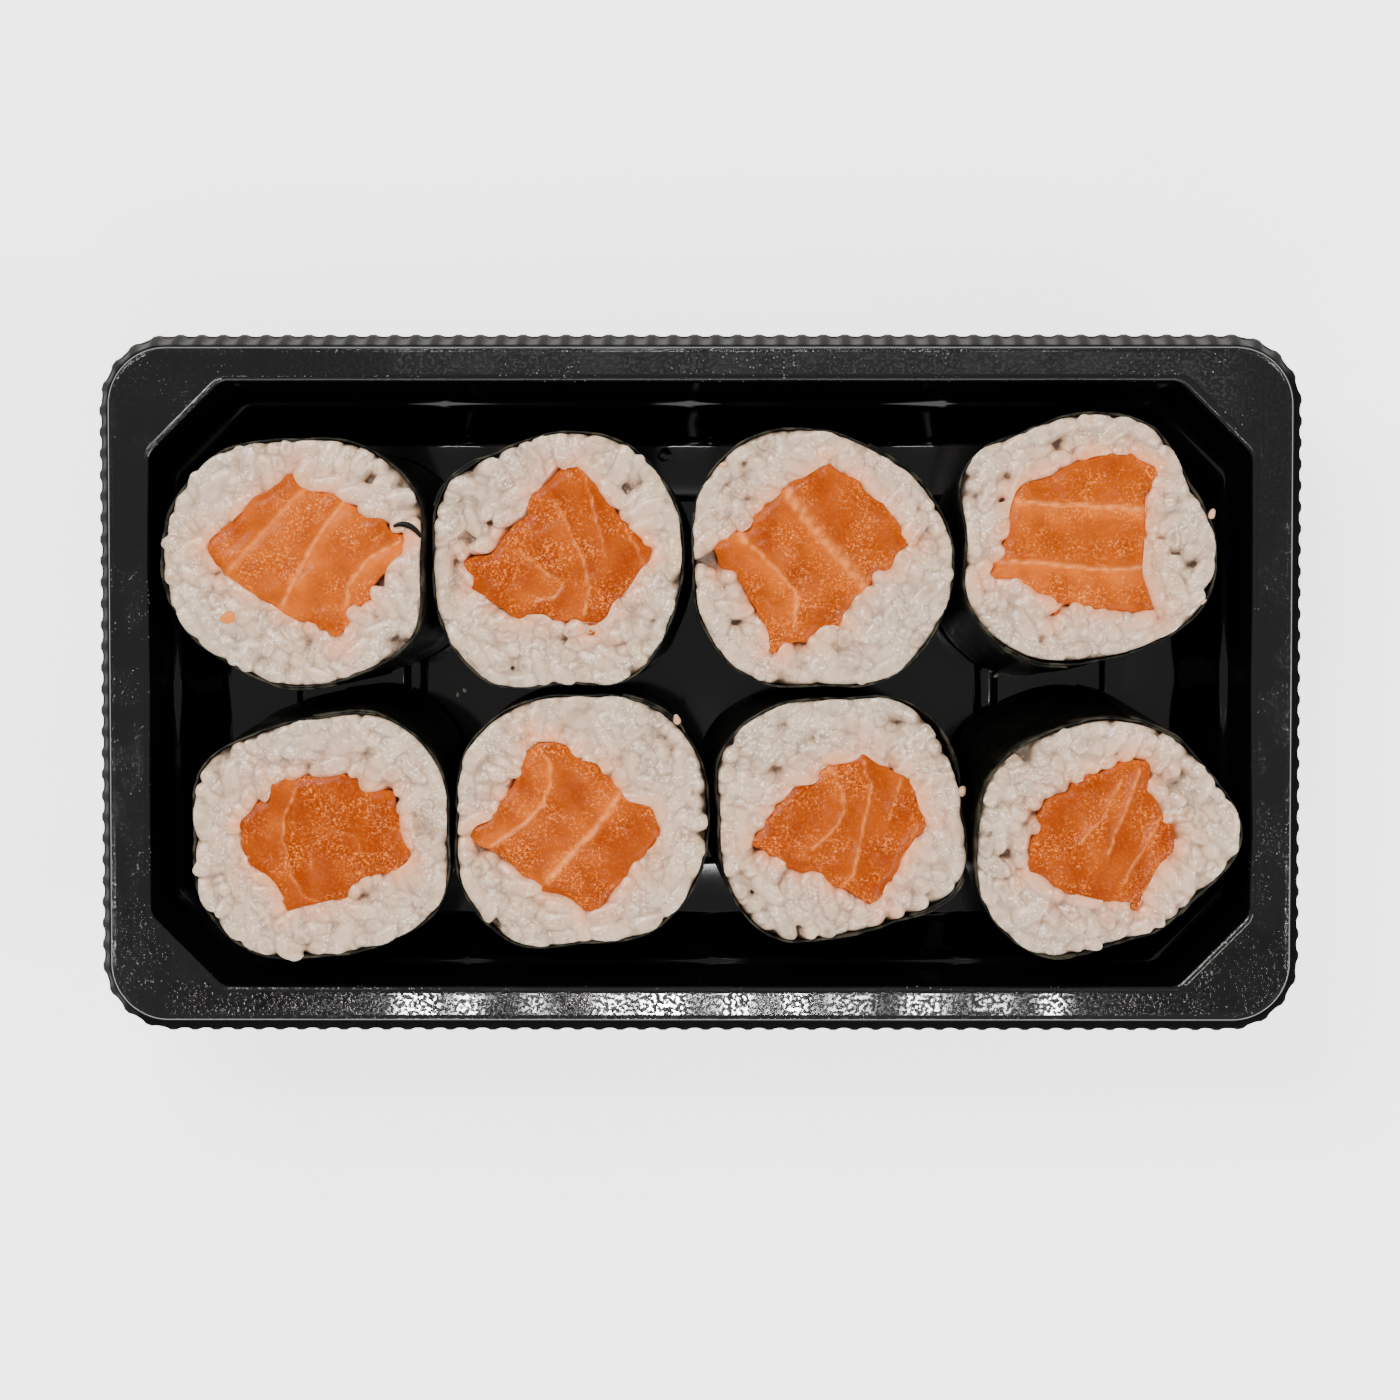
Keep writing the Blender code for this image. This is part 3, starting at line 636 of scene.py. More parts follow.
def paint(tree, shader, base, layers):
    """The base colour, and others laid over it: each layer is a colour and the factors of its share."""
    colour = shade(base)
    for over, *factors in layers:
        links = {0: product(tree, *factors), 6: colour, 7: shade(over)}
        colour = add(tree, "ShaderNodeMix", links, data_type="RGBA").outputs[2]
    tree.links.new(colour, shader.inputs["Base Color"])


def roughen(tree, shader, coordinates, size, detail, strength, depth):
    """Fine relief from noise with a size and a depth in millimetres."""
    noise = add(tree, "ShaderNodeTexNoise", {"Vector": coordinates, "Scale": per_mm(size), "Detail": detail})
    bump = {"Height": noise.outputs[0], "Strength": strength, "Distance": depth * MM}
    tree.links.new(add(tree, "ShaderNodeBump", bump).outputs[0], shader.inputs["Normal"])


def tray_material():
    """Formed black polystyrene: near-black and glossy, its rim dusty and a little paler as painted sheen, and
    most pitted along the front.
    """
    made, tree, shader = start_material("black_formed_polystyrene", IOR=1.45)
    place = add(tree, "ShaderNodeTexCoord").outputs["Object"]
    x, y, height = add(tree, "ShaderNodeSeparateXYZ", {0: place}).outputs
    across = add(tree, "ShaderNodeMath", {0: x}, operation="ABSOLUTE").outputs[0]
    on_rim, middle, front = (
        add(tree, "ShaderNodeMapRange",
            {"Value": value, "From Min": low * MM, "From Max": high * MM}).outputs[0]
        for value, (low, high) in ((height, RIM_RAMP), (across, RUBBED_X_RAMP), (y, RUBBED_Y_RAMP))
    )
    dust = specks_node(tree, place, 0.42, 0.2)
    patches = spots_node(tree, place, 9.0, 0.52, 0.7)
    # the rim's paler grey is partly a dust haze and partly painted sheen; the pale specks are dust
    paint(tree, shader, "#050506", (("#0d0d0e", on_rim), ("#a8a8a6", dust, patches, on_rim, 0.45)))

    smears = spots_node(tree, place, 5.0, 0.42, 0.62)
    speckle = spots_node(tree, place, 0.5, 0.52, 0.58)
    smeared = add(tree, "ShaderNodeMapRange", {"Value": smears, "To Min": 0.7}).outputs[0]
    dulled = product(tree, speckle, smeared)
    rubbed = product(tree, front, middle)
    rough = add(tree, "ShaderNodeMapRange", {"Value": rubbed, "To Min": 0.13, "To Max": 0.34}).outputs[0]
    rough = add(tree, "ShaderNodeMapRange", {"Value": dulled, "To Min": 0.035, "To Max": rough}).outputs[0]
    rough = add(tree, "ShaderNodeMapRange", {"Value": on_rim, "To Min": 0.08, "To Max": rough}).outputs[0]
    tree.links.new(rough, shader.inputs["Roughness"])

    ripple = add(tree, "ShaderNodeTexNoise", {"Vector": place, "Scale": per_mm(9.0), "Detail": 1.0})
    soft = {"Height": ripple.outputs[0], "Strength": 0.3, "Distance": 0.012 * MM}
    pits = spots_node(tree, place, 0.5, 0.46, 0.6)
    pitted = add(tree, "ShaderNodeMapRange", {"Value": smears, "To Min": 0.25, "To Max": 1.0}).outputs[0]
    fine = {"Height": pits, "Strength": product(tree, on_rim, pitted), "Distance": 0.012 * MM,
            "Normal": add(tree, "ShaderNodeBump", soft).outputs[0]}
    tree.links.new(add(tree, "ShaderNodeBump", fine).outputs[0], shader.inputs["Normal"])
    return made


def fluted_edge_material():
    """The same sheet, dulled by the cutter and by handling: matte black, with painted glints at the flutes'
    feet and a painted sheen on the back and left.
    """
    made, tree, shader = start_material(
        "black_polystyrene_dulled_edge", Roughness=0.5, Specular_IOR_Level=0.0)
    paint(tree, shader, "#111112", (("#5d5d5c", "scuff"),))
    return made


def nori_material():
    """Toasted seaweed: black-green and crinkled, with an olive highlight painted in patches along its lit top
    edge.
    """
    made, tree, shader = start_material("toasted_nori", Roughness=0.42, Specular_IOR_Level=0.16)
    place = add(tree, "ShaderNodeTexCoord").outputs["Object"]
    blotches = spots_node(tree, place, 1.6, 0.4, 0.65, 4.0)
    painted_lit_patches = spots_node(tree, place, 2.0, 0.46, 0.6, 3.0)
    paint(tree, shader, "#030403", (("#0d0e09", blotches), ("#38352a", "lit_edge", painted_lit_patches)))
    roughen(tree, shader, place, 0.7, 4.0, 0.6, 0.15)
    return made


def rice_material():
    """Cooked short-grain rice: milky, translucent, moist, with greyer grains and a salmon blush, painted
    highlights at the grains' rims and in glints, and painted shade in creases and deep gaps.
    """
    made, tree, shader = start_material(
        "cooked_rice", Roughness=0.18, IOR=1.4, Specular_IOR_Level=1.0, Subsurface_Weight=0.65,
        Subsurface_Radius=(1.0, 0.75, 0.6), Subsurface_Scale=1.1 * MM)
    place = add(tree, "ShaderNodeTexCoord").outputs["Object"]
    warmth = spots_node(tree, place, 11.0, 0.4, 0.6)
    cloud = spots_node(tree, place, 1.1, 0.35, 0.7)
    clusters = spots_node(tree, place, 3.2, 0.42, 0.58)
    painted_glints = spots_node(tree, place, 0.36, 0.56, 0.64)
    # the rims and glints are painted highlights; the crease and deep layers are painted shade
    paint(tree, shader, "#8c755f", (
        ("#d1b69b", "tone"),
        ("#fae1c9", "halo", 0.6),
        ("#bfb1a5", warmth, 0.3),
        ("#f0d3b6", cloud, 0.45),
        ("#fff6ec", painted_glints, clusters, 0.9),
        ("#ffa269", "blush"),
        ("#a18a76", "crease"),
        ("#5a4434", "hollow"),
    ))
    roughen(tree, shader, place, 0.34, 3.0, 0.7, 0.11)
    return made


def salmon_material():
    """Raw salmon: orange flesh in flakes between pale seams, moist, with a fine painted sparkle."""
    made, tree, shader = start_material(
        "raw_salmon", Roughness=0.28, Specular_IOR_Level=0.09, Subsurface_Weight=0.2,
        Subsurface_Radius=(1.0, 0.4, 0.2), Subsurface_Scale=0.5 * MM)
    place = add(tree, "ShaderNodeTexCoord").outputs["Object"]
    mottle = spots_node(tree, place, 2.6, 0.4, 0.65, 3.0)
    clusters = spots_node(tree, place, 4.5, 0.42, 0.62)
    some = add(tree, "ShaderNodeMapRange", {"Value": clusters, "To Min": 0.12, "To Max": 0.85}).outputs[0]
    flecks = spots_node(tree, place, 0.42, 0.55, 0.65)
    curls = curls_node(tree, place, 0.7, 0.04)
    painted_sparkle = spots_node(tree, place, 0.27, 0.62, 0.69)
    # the flecks and curls are partly fibre texture and partly painted sparkle; the glints are painted
    # highlights
    paint(tree, shader, "#983b00", (
        ("#d96a14", "pale"),
        ("#8a3000", mottle, 0.4),
        ("#ee7d24", flecks, some),
        ("#f0832e", curls, 0.45, some),
        ("#ffab62", painted_sparkle, some),
        ("#fd9848", "seam"),
    ))
    roughen(tree, shader, place, 0.4, 2.0, 0.4, 0.06)
    return made


def water_material():
    """Clear water: a small lens that shows by its highlights."""
    made, _, _ = start_material("clear_water", Roughness=0.03, IOR=1.33, Transmission_Weight=1.0)
    return made


def floor_material():
    """A white table lit a little from below, as product tables are, so that it stays pale."""
    made, tree, shader = start_material("pale_floor", Roughness=0.6, Emission_Strength=FLOOR_GLOW)
    place = add(tree, "ShaderNodeTexCoord").outputs["Object"]
    grain = spots_node(tree, place, 30.0, 0.3, 0.7, 3.0)
    paint(tree, shader, "#f3f4f6", (("#f6f7f9", grain),))
    return made


# The tray


def opening_outline(offset):
    """The opening's octagon moved outwards by offset, each corner an arc."""
    half_x, half_y = (half + offset for half in OPENING_HALF)
    turn = math.pi / 4
    radius = OPENING_ROUND + 0.12 * (offset - FLOOR_OFFSET)
    reach = radius * math.tan(turn / 2)
    outline = []
    for quadrant in range(4):
        spin = quadrant * math.pi / 2
        across, along = (half_x, half_y) if quadrant % 2 == 0 else (half_y, half_x)
        bends = (((across, along - OPENING_CUT), 0.0), ((across - OPENING_CUT, along), turn))
        for (cx, cy), heading in bends:
            start = (cx + reach * math.sin(heading), cy - reach * math.cos(heading))
            centre = (start[0] - radius * math.cos(heading), start[1] - radius * math.sin(heading))
            for step in range(7):
                angle = heading + turn * step / 6
                x = centre[0] + radius * math.cos(angle)
                y = centre[1] + radius * math.sin(angle)
                outline.append((x * math.cos(spin) - y * math.sin(spin),
                                x * math.sin(spin) + y * math.cos(spin)))
    return outline


def flute_columns():
    """Places round the rim at an even spacing: unit run, corner and heading for each column."""
    straight_x = 2 * (RIM_HALF[0] - RIM_RADIUS)
    straight_y = 2 * (RIM_HALF[1] - RIM_RADIUS)
    arc = RIM_RADIUS * math.pi / 2
    flutes = round((2 * (straight_x + straight_y) + 4 * arc) / FLUTE_PITCH)
    legs = (straight_y / 2, arc, straight_x, arc, straight_y, arc, straight_x, arc, straight_y / 2)
    columns = []
    total = sum(legs)
    for index in range(flutes * FLUTE_COLUMNS):
        run = total * index / (flutes * FLUTE_COLUMNS)
        leg = 0
        while leg < 8 and run > legs[leg]:
            run -= legs[leg]
            leg += 1
        phase = 2 * math.pi * index / FLUTE_COLUMNS
        crest = math.tanh(FLUTE_SQUARENESS * math.sin(phase)) / math.tanh(FLUTE_SQUARENESS)
        columns.append((leg, run / legs[leg], crest))
    return columns


def rim_outline(columns, offset, flute):
    """The rim's rounded rectangle moved outwards by offset, its columns pushed in and out by flute."""
    half_x, half_y = (half + offset for half in RIM_HALF)
    radius = RIM_RADIUS + offset
    inner_x, inner_y = half_x - radius, half_y - radius
    corners = ((inner_x, inner_y), (-inner_x, inner_y), (-inner_x, -inner_y), (inner_x, -inner_y))
    starts = {0: (half_x, 0.0), 2: (inner_x, half_y), 4: (-half_x, inner_y), 6: (-inner_x, -half_y),
              8: (half_x, -inner_y)}
    lengths = {0: inner_y, 2: 2 * inner_x, 4: 2 * inner_y, 6: 2 * inner_x, 8: inner_y}
    outline = []
    for leg, share, crest in columns:
        if leg % 2:
            cx, cy = corners[leg // 2]
            heading = (leg // 2 + share) * math.pi / 2
            outline.append((cx + (radius + flute * crest) * math.cos(heading),
                            cy + (radius + flute * crest) * math.sin(heading)))
            continue
        heading = (leg // 2) % 4 * math.pi / 2
        x, y = starts[leg]
        x += flute * crest * math.cos(heading) - share * lengths[leg] * math.sin(heading)
        y += flute * crest * math.sin(heading) + share * lengths[leg] * math.cos(heading)
        outline.append((x, y))
    return outline


def start_loop(name, outline, z, fill="NOTHING"):
    """A ring in metres, its columns numbered so that later loops can follow."""
    piece = start_ring(name, outline, z, fill, MM)
    numbers = piece.data.attributes.new("column", "INT", "POINT")
    numbers.data.foreach_set("value", np.arange(len(outline), dtype=np.int32))
    return piece


def extrude_loop(piece, outline, z):
    """In edit mode, extrudes the selected loop and lays the new one onto the next outline."""
    bpy.ops.mesh.extrude_region_move(TRANSFORM_OT_translate={"value": (0.0, 0.0, 0.0)})
    mesh = bmesh.from_edit_mesh(piece.data)
    column = mesh.verts.layers.int["column"]
    for vert in mesh.verts:
        if vert.select:
            x, y = outline[vert[column]]
            vert.co = (x * MM, y * MM, z * MM)
    bmesh.update_edit_mesh(piece.data)


def select_where(piece, kind, test):
    """In edit mode, selects the faces, edges or vertices whose middle passes the test."""
    mesh = bmesh.from_edit_mesh(piece.data)
    for kinds in (mesh.faces, mesh.edges, mesh.verts):
        for item in kinds:
            item.select_set(False)
    for item in {"FACE": mesh.faces, "EDGE": mesh.edges, "VERT": mesh.verts}[kind]:
        corners = [item.co] if kind == "VERT" else [v.co for v in item.verts]
        if test(sum(corners, Vector()) / len(corners) / MM, item):
            item.select_set(True)
    bmesh.update_edit_mesh(piece.data)


def form_plateaus(piece):
    """Scores the flat floor along the plateaus' edges, then raises each plateau with sloping sides."""
    lines = [((x, 0, 0), (1, 0, 0)) for span in PLATEAU_SPANS for x in span]
    lines += [((0, side * PLATEAU_HALF_WIDTH, 0), (0, 1, 0)) for side in (-1, 1)]
    for where, facing in lines:
        select_where(piece, "FACE", lambda c, f: f.normal.z > 0.99 and c.z < SHEET + 0.02)
        middle = [v * MM for v in where]
        bpy.ops.mesh.bisect(plane_co=middle, plane_no=facing, xstart=0, xend=0, ystart=0, yend=0)

    def on_plateau(centre, face):
        in_span = any(low < centre.x < high for low, high in PLATEAU_SPANS)
        return centre.z < SHEET + 0.02 and in_span and abs(centre.y) < PLATEAU_HALF_WIDTH

    select_where(piece, "FACE", on_plateau)
    bpy.ops.mesh.inset(thickness=PLATEAU_SLOPE * MM, depth=PLATEAU_RISE * MM, use_boundary=True)

    def on_plateau_edge(centre, edge):
        ends = [v.co.z / MM for v in edge.verts]
        inside = abs(centre.x) < PLATEAU_SPANS[-1][1] + 0.2 and abs(centre.y) < PLATEAU_HALF_WIDTH + 0.2
        level = abs(ends[0] - ends[1]) < 0.01
        bent = len(edge.link_faces) == 2 and edge.calc_face_angle() > 0.3
        return inside and level and bent and ends[0] < SHEET + PLATEAU_RISE + 0.1

    select_where(piece, "EDGE", on_plateau_edge)
    bpy.ops.mesh.bevel(offset=PLATEAU_ROUND * MM, segments=4, affect="EDGES")


def paint_flute_glints_and_sheen(rim, columns):
    """Marks the skirt's faces as the dulled edge, and paints glints at the foot of each flute's crest and a
    sheen along the back and left.
    """
    for face in rim.data.polygons:
        face.material_index = 1 if face.center.z < SKIRT[0][1] * MM else 0
    x, y, heights = read_points(rim).T / MM
    numbers = np.empty(len(heights), np.int32)
    rim.data.attributes["column"].data.foreach_get("value", numbers)
    crest = np.array([column[2] for column in columns])[numbers]
    bottom = SKIRT[-1][1]
    # painted glints at the foot of each flute's crest
    foot = 1 - ease(heights, bottom + 0.3, bottom + 1.4)
    # painted reflection of the bright room behind and to the left, on the back and left skirt
    back_sheen = ease(y, RIM_HALF[1] - 5.0, RIM_HALF[1])
    left_sheen = 0.8 * ease(-x, RIM_HALF[0] - 4.0, RIM_HALF[0])
    painted_sheen = np.maximum(back_sheen, left_sheen) * ease(heights, bottom, bottom + 1.0) * (0.5 - 0.25 * crest)
    write_attribute(rim, "scuff", np.maximum(np.clip(crest, 0, 1) * foot, painted_sheen))


def build_tray(black, dulled):
    """One formed sheet, modelled by its upper face and then given its thickness downwards."""
    tray = start_loop("formed_tray", opening_outline(FLOOR_OFFSET), SHEET, "NGON")
    edit_mode(tray, "EDGE")
    bpy.ops.mesh.select_all(action="SELECT")
    bpy.ops.mesh.region_to_loop()
    for offset, z in WALL:
        extrude_loop(tray, opening_outline(offset), z)
    form_plateaus(tray)
    object_mode()

    columns = flute_columns()
    rim = start_loop("rim", rim_outline(columns, RIM_EDGE[0][0], 0.0), RIM_EDGE[0][1])
    edit_mode(rim, "EDGE")
    bpy.ops.mesh.select_all(action="SELECT")
    for offset, z in RIM_EDGE[1:]:
        extrude_loop(rim, rim_outline(columns, offset, 0.0), z)
    for offset, z, strength in SKIRT:
        extrude_loop(rim, rim_outline(columns, offset, FLUTE_DEPTH * strength), z)
    object_mode()
    for sheet in (tray, rim):
        sheet.data.materials.append(black)
        sheet.data.materials.append(dulled)
    paint_flute_glints_and_sheen(rim, columns)

    tray = join([tray, rim], "formed_tray")
    edit_mode(tray, "EDGE")
    select_where(tray, "EDGE", lambda c, e: len(e.link_faces) == 1 and c.z > 21.9)
    bpy.ops.mesh.fill(use_beauty=True)
    bpy.ops.mesh.select_all(action="SELECT")
    bpy.ops.mesh.normals_make_consistent(inside=False)
    object_mode()
    if tray.data.polygons[int(np.argmax([p.area for p in tray.data.polygons]))].normal.z < 0:
        tray.data.flip_normals()
    apply_modifier(tray, "SOLIDIFY", thickness=SHEET * MM, offset=-1.0)
    select_only(tray)
    bpy.ops.object.shade_smooth_by_angle(angle=math.radians(35))
    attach(tray, "root")
    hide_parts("tray")


# Seaweed


def build_nori(roll, seaweed):
    """A sheet wrapped once round the rice and lapped over its own start, with a soft, uneven top edge."""
    bpy.ops.mesh.primitive_grid_add(x_subdivisions=NORI_COLUMNS, y_subdivisions=NORI_ROWS, size=2.0)
    sheet = new_piece(f"nori_wrap_{roll.name}")
    flat = read_points(sheet)
    along, up = (flat[:, 0] + 1) / 2, (flat[:, 1] + 1) / 2
    turn = along * (2 * math.pi + math.radians(NORI_OVERLAP_DEG))
    angle = roll.seam + turn
    around = np.column_stack([np.cos(angle), np.sin(angle)]) * NORI_MEAN_RADIUS
    lapped = ease(turn, 2 * math.pi - 0.12, 2 * math.pi + 0.05)
    top = -NORI_DROP + 0.16 * waves(around, 9.0, roll.seed) + 0.07 * waves(around, 2.5, roll.seed + 50)
    w = -ROLL_HEIGHT + 0.02 + up ** 0.8 * (ROLL_HEIGHT - 0.02 + top)
    solid = np.column_stack([around, w])
    crinkle = 0.05 * waves(solid, 5.0, roll.seed + 90) + 0.03 * waves(solid, 1.8, roll.seed + 130)
    near_top = ease(w, -7.0, -0.5)
    radius = smooth_radius(roll.radii, angle) + NORI_GAP + lapped * (NORI_SHEET + NORI_GAP)
    radius += np.clip(crinkle, -0.04, 0.1) * (0.4 + 0.6 * near_top)
    if roll.name in LOOSE_NORI:
        heading, spread, distance = LOOSE_NORI[roll.name]
        off = np.mod(angle - math.radians(heading) + math.pi, 2 * math.pi) - math.pi
        radius += distance * np.exp(-(off / math.radians(spread)) ** 2) * near_top
    write_points(sheet, np.column_stack([radius * np.cos(angle), radius * np.sin(angle), w]))
    # the band along the top edge where the olive highlight is painted
    write_attribute(sheet, "lit_edge", ease(w, -3.2, -1.0))
    if sheet.data.polygons[0].normal.xy.dot(sheet.data.polygons[0].center.xy) < 0:
        sheet.data.flip_normals()
    apply_modifier(sheet, "SOLIDIFY", thickness=NORI_SHEET, offset=1.0)
    roll.place(sheet)
    sheet.data.shade_smooth()
    sheet.data.materials.append(seaweed)
    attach(sheet, "root")
    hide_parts(f"nori_{roll.name}")


# Rice


def grain_shape():
    """One cooked grain lying along X: blunt, a little bent and flattened, as points and faces."""
    bpy.ops.mesh.primitive_uv_sphere_add(segments=12, ring_count=9, radius=1.0)
    grain = new_piece("grain")
    unit = read_points(grain)[:, (2, 0, 1)]
    length = unit[:, 0]
    blunt = np.sign(length) * np.abs(length) ** 0.86
    girth = 1.0 - 0.12 * length
    bend = 0.12 * (length ** 2 - 0.5)
    points = np.column_stack([
        blunt * GRAIN_LENGTH / 2,
        unit[:, 1] * girth * GRAIN_WIDTH / 2 + bend * GRAIN_WIDTH,
        unit[:, 2] * girth * GRAIN_THICKNESS / 2,
    ])
    faces = [tuple(p.vertices) for p in grain.data.polygons]
    bpy.data.objects.remove(grain)
    return points, faces


def settle_grains(roll, draw, count):
    """Spreads grains over the ring between salmon and seaweed until they lie evenly against each other."""
    reach = GRAIN_WIDTH / 2
    stick = GRAIN_LENGTH / 2 - reach
    steep = draw.random(count) < STEEP_GRAINS
    steep_dip = draw.uniform(*STEEP_DIP_DEG, count)
    flat_dip = np.abs(draw.normal(0, FLAT_DIP_DEG, count))
    dip = np.radians(np.where(steep, steep_dip, flat_dip))
    spots = []
    while len(spots) < count:
        spot = draw.uniform(-17, 17, 2)
        in_roll = np.hypot(*spot) < roll.edge(*spot) - 0.8
        if in_roll and outline_depth(spot[None], roll.salmon_corners)[0] < -0.3:
            spots.append(spot)
    middle = np.array(spots)
    heading = np.arctan2(middle[:, 1], middle[:, 0]) + math.pi / 2 + draw.normal(0, 0.9, count)
    half = stick * np.cos(dip)
    own = np.repeat(np.arange(count), 3)
    different = own[:, None] != own[None, :]
    for step in range(SETTLE_STEPS):
        axis = np.column_stack([np.cos(heading), np.sin(heading)])
        ends = np.array([-1.0, 0.0, 1.0])[None, :, None] * (half[:, None] * axis)[:, None, :]
        balls = (middle[:, None, :] + ends).reshape(-1, 2)
        apart = balls[:, None, :] - balls[None, :, :]
        gap = np.hypot(apart[..., 0], apart[..., 1]) + 1e-6
        overlap = np.clip(2 * reach * GRAIN_PRESSED - gap, 0, None) * different
        push = (apart / gap[..., None] * overlap[..., None]).sum(1) * 0.25
        radius = np.hypot(balls[:, 0], balls[:, 1]) + 1e-6
        over = np.clip(radius - (roll.edge(balls[:, 0], balls[:, 1]) - reach * 0.88), 0, None)
        push -= balls / radius[:, None] * over[:, None] * 0.7
        for gu, gv, half_width in roll.gaps:
            off = balls - (gu, gv)
            near = np.hypot(off[:, 0], off[:, 1]) + 1e-6
            intruding = np.clip(half_width + reach * GRAIN_PRESSED - near, 0, None)
            push += off / near[:, None] * intruding[:, None] * 0.6
        if step % 4 == 0:
            depth = outline_depth(balls, roll.salmon_corners)
            slope = depth_slope(balls, roll.salmon_corners, depth)
            push -= slope * np.clip(depth + reach * GRAIN_PRESSED, 0, None)[:, None]
        push = push.reshape(count, 3, 2)
        middle = middle + np.clip(push.mean(1) * 1.4, -0.6, 0.6)
        normal = np.column_stack([-axis[:, 1], axis[:, 0]])
        twist = ((push[:, 2] - push[:, 0]) * normal).sum(1) / (2 * half + 1.0)
        heading = heading + np.clip(twist, -0.15, 0.15)
    return middle, heading, dip


def build_rice(roll, rice, grain):
    """The cut face's grains, packed in two layers and stuck together, over a plain core below them."""
    draw = np.random.default_rng(roll.seed)
    outer = roll.outline(-0.05, RICE_COLUMNS)
    inner = roll.salmon_corners
    area = abs(cross_area(outer)) - abs(cross_area(inner))
    points, faces = grain
    placed, grain_balls, parts, polygons = 0, [], [], []
    for layer, share, swell in GRAIN_LAYERS:
        count = int(area / share)
        middle, heading, dip = settle_grains(roll, draw, count)
        size = draw.uniform(0.9, 1.06, count) * swell
        crown = layer + draw.uniform(-0.3, 0.05, count)
        roll_turn = draw.uniform(0, 2 * math.pi, count)
        for k in range(count):
            body = points * size[k]
            spin = rotation(0, roll_turn[k]) if dip[k] > 0.5 else np.eye(3)
            body = body @ spin.T @ rotation(1, -dip[k]).T @ rotation(2, heading[k]).T
            body[:, 2] += crown[k] - body[:, 2].max()
            body[:, :2] += middle[k]
            parts.append(body)
            polygons += [tuple(v + placed for v in face) for face in faces]
            placed += len(body)
            centre = body.mean(0)
            stick = rotation(2, heading[k]) @ rotation(1, -dip[k]) @ np.array([1.0, 0, 0]) * 1.5 * size[k]
            grain_balls += [centre - stick, centre, centre + stick]
    packed = np.vstack(parts)
    soft = np.clip(packed[:, 2] - CUT_SOFTENS, 0, None)
    packed[:, 2] = np.where(soft > 0, CUT_SOFTENS + CUT_ROUND * np.tanh(soft / CUT_ROUND), packed[:, 2])
    mesh = bpy.data.meshes.new("grains")
    mesh.from_pydata(packed.tolist(), [], polygons)
    grains = bpy.data.objects.new("grains", mesh)
    bpy.context.scene.collection.objects.link(grains)
    bed = ring_solid("bed", outer, inner, *RICE_BED)
    top = join([grains, bed], "grains")
    apply_modifier(top, "REMESH", mode="VOXEL", voxel_size=GRAIN_VOXEL)
    apply_modifier(top, "SMOOTH", factor=0.5, iterations=3)
    apply_modifier(top, "DECIMATE", ratio=GRAIN_SHARE_KEPT)

    local = read_points(top)
    over_nori = (0.04 + RICE_OVER_NORI) * ease(local[:, 2], -0.7, -0.35)
    edge = roll.edge(local[:, 0], local[:, 1]) - 0.04 + over_nori
    radius = np.hypot(local[:, 0], local[:, 1])
    local[:, :2] *= np.minimum(1.0, edge / radius)[:, None]
    keep_off_salmon(roll, local)
    write_points(top, local)
    paint_rice(roll, top, local, np.array(grain_balls), draw)

    core = ring_solid("core", roll.outline(-0.3, RICE_COLUMNS), inner, -ROLL_HEIGHT, RICE_CORE_TOP)
    # the core is painted darker as shade
    fill_attributes(core, tone=0.5, halo=0.0, blush=0.0, crease=0.0, hollow=0.4)
    piece = join([top, core], f"rice_grains_{roll.name}")
    roll.place(piece)
    piece.data.shade_smooth()
    piece.data.materials.clear()
    piece.data.materials.append(rice)
    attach(piece, "root")
    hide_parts(f"rice_{roll.name}")


def keep_off_salmon(roll, local):
    """Draws back the grains that lie over the salmon's edge by more than a little."""
    flat = local[:, :2]
    for _ in range(2):
        depth = outline_depth(flat, roll.salmon)
        deep = np.flatnonzero(depth > RICE_OVER_SALMON)
        slope = depth_slope(flat[deep], roll.salmon, depth[deep])
        flat[deep] -= slope * (depth[deep] - RICE_OVER_SALMON)[:, None]


def paint_rice(roll, piece, local, balls, draw):
    """Stores where each point lies: which grain's tone, painted shade in a crease and in the deep gaps, a
    painted highlight near a grain's rim, near the salmon.
    """
    grains = len(balls) // 3
    tones = np.clip(draw.normal(0.58, 0.34, grains), 0, 1)
    blushes = draw.uniform(0.45, 1.0, grains)
    tone, crease, halo, blush = np.empty((4, len(local)))
    for start in range(0, len(local), PAINT_CHUNK):
        part = slice(start, start + PAINT_CHUNK)
        gaps = np.linalg.norm(local[part, None, :] - balls[None], axis=2).reshape(-1, grains, 3).min(2)
        pair = np.sort(np.partition(gaps, 1, axis=1)[:, :2], axis=1)
        apart = pair[:, 1] - pair[:, 0]
        nearest = gaps.argmin(1)
        tone[part] = tones[nearest]
        blush[part] = blushes[nearest]
        # painted shade in the creases between grains, and a painted highlight just inside each grain's rim
        crease[part] = 1 - ease(apart, 0.0, 0.45)
        halo[part] = np.exp(-((apart - 0.5) / 0.3) ** 2) * (1 - 0.6 * tones[nearest])
    near = -outline_depth(local[:, :2], roll.salmon_corners)
    write_attribute(piece, "tone", tone)
    # painted highlight near each grain's rim at the cut face
    write_attribute(piece, "halo", halo * ease(local[:, 2], -1.6, -0.8))
    # painted shade in the creases and deeper below the cut face
    write_attribute(piece, "crease", crease * 0.45 * ease(-local[:, 2], 0.2, 1.2))
    write_attribute(piece, "hollow", ease(-local[:, 2], 1.3, 2.9))
    write_attribute(piece, "blush", blush * 0.85 * np.exp(-np.clip(near, 0, None) / 1.6))


# Salmon


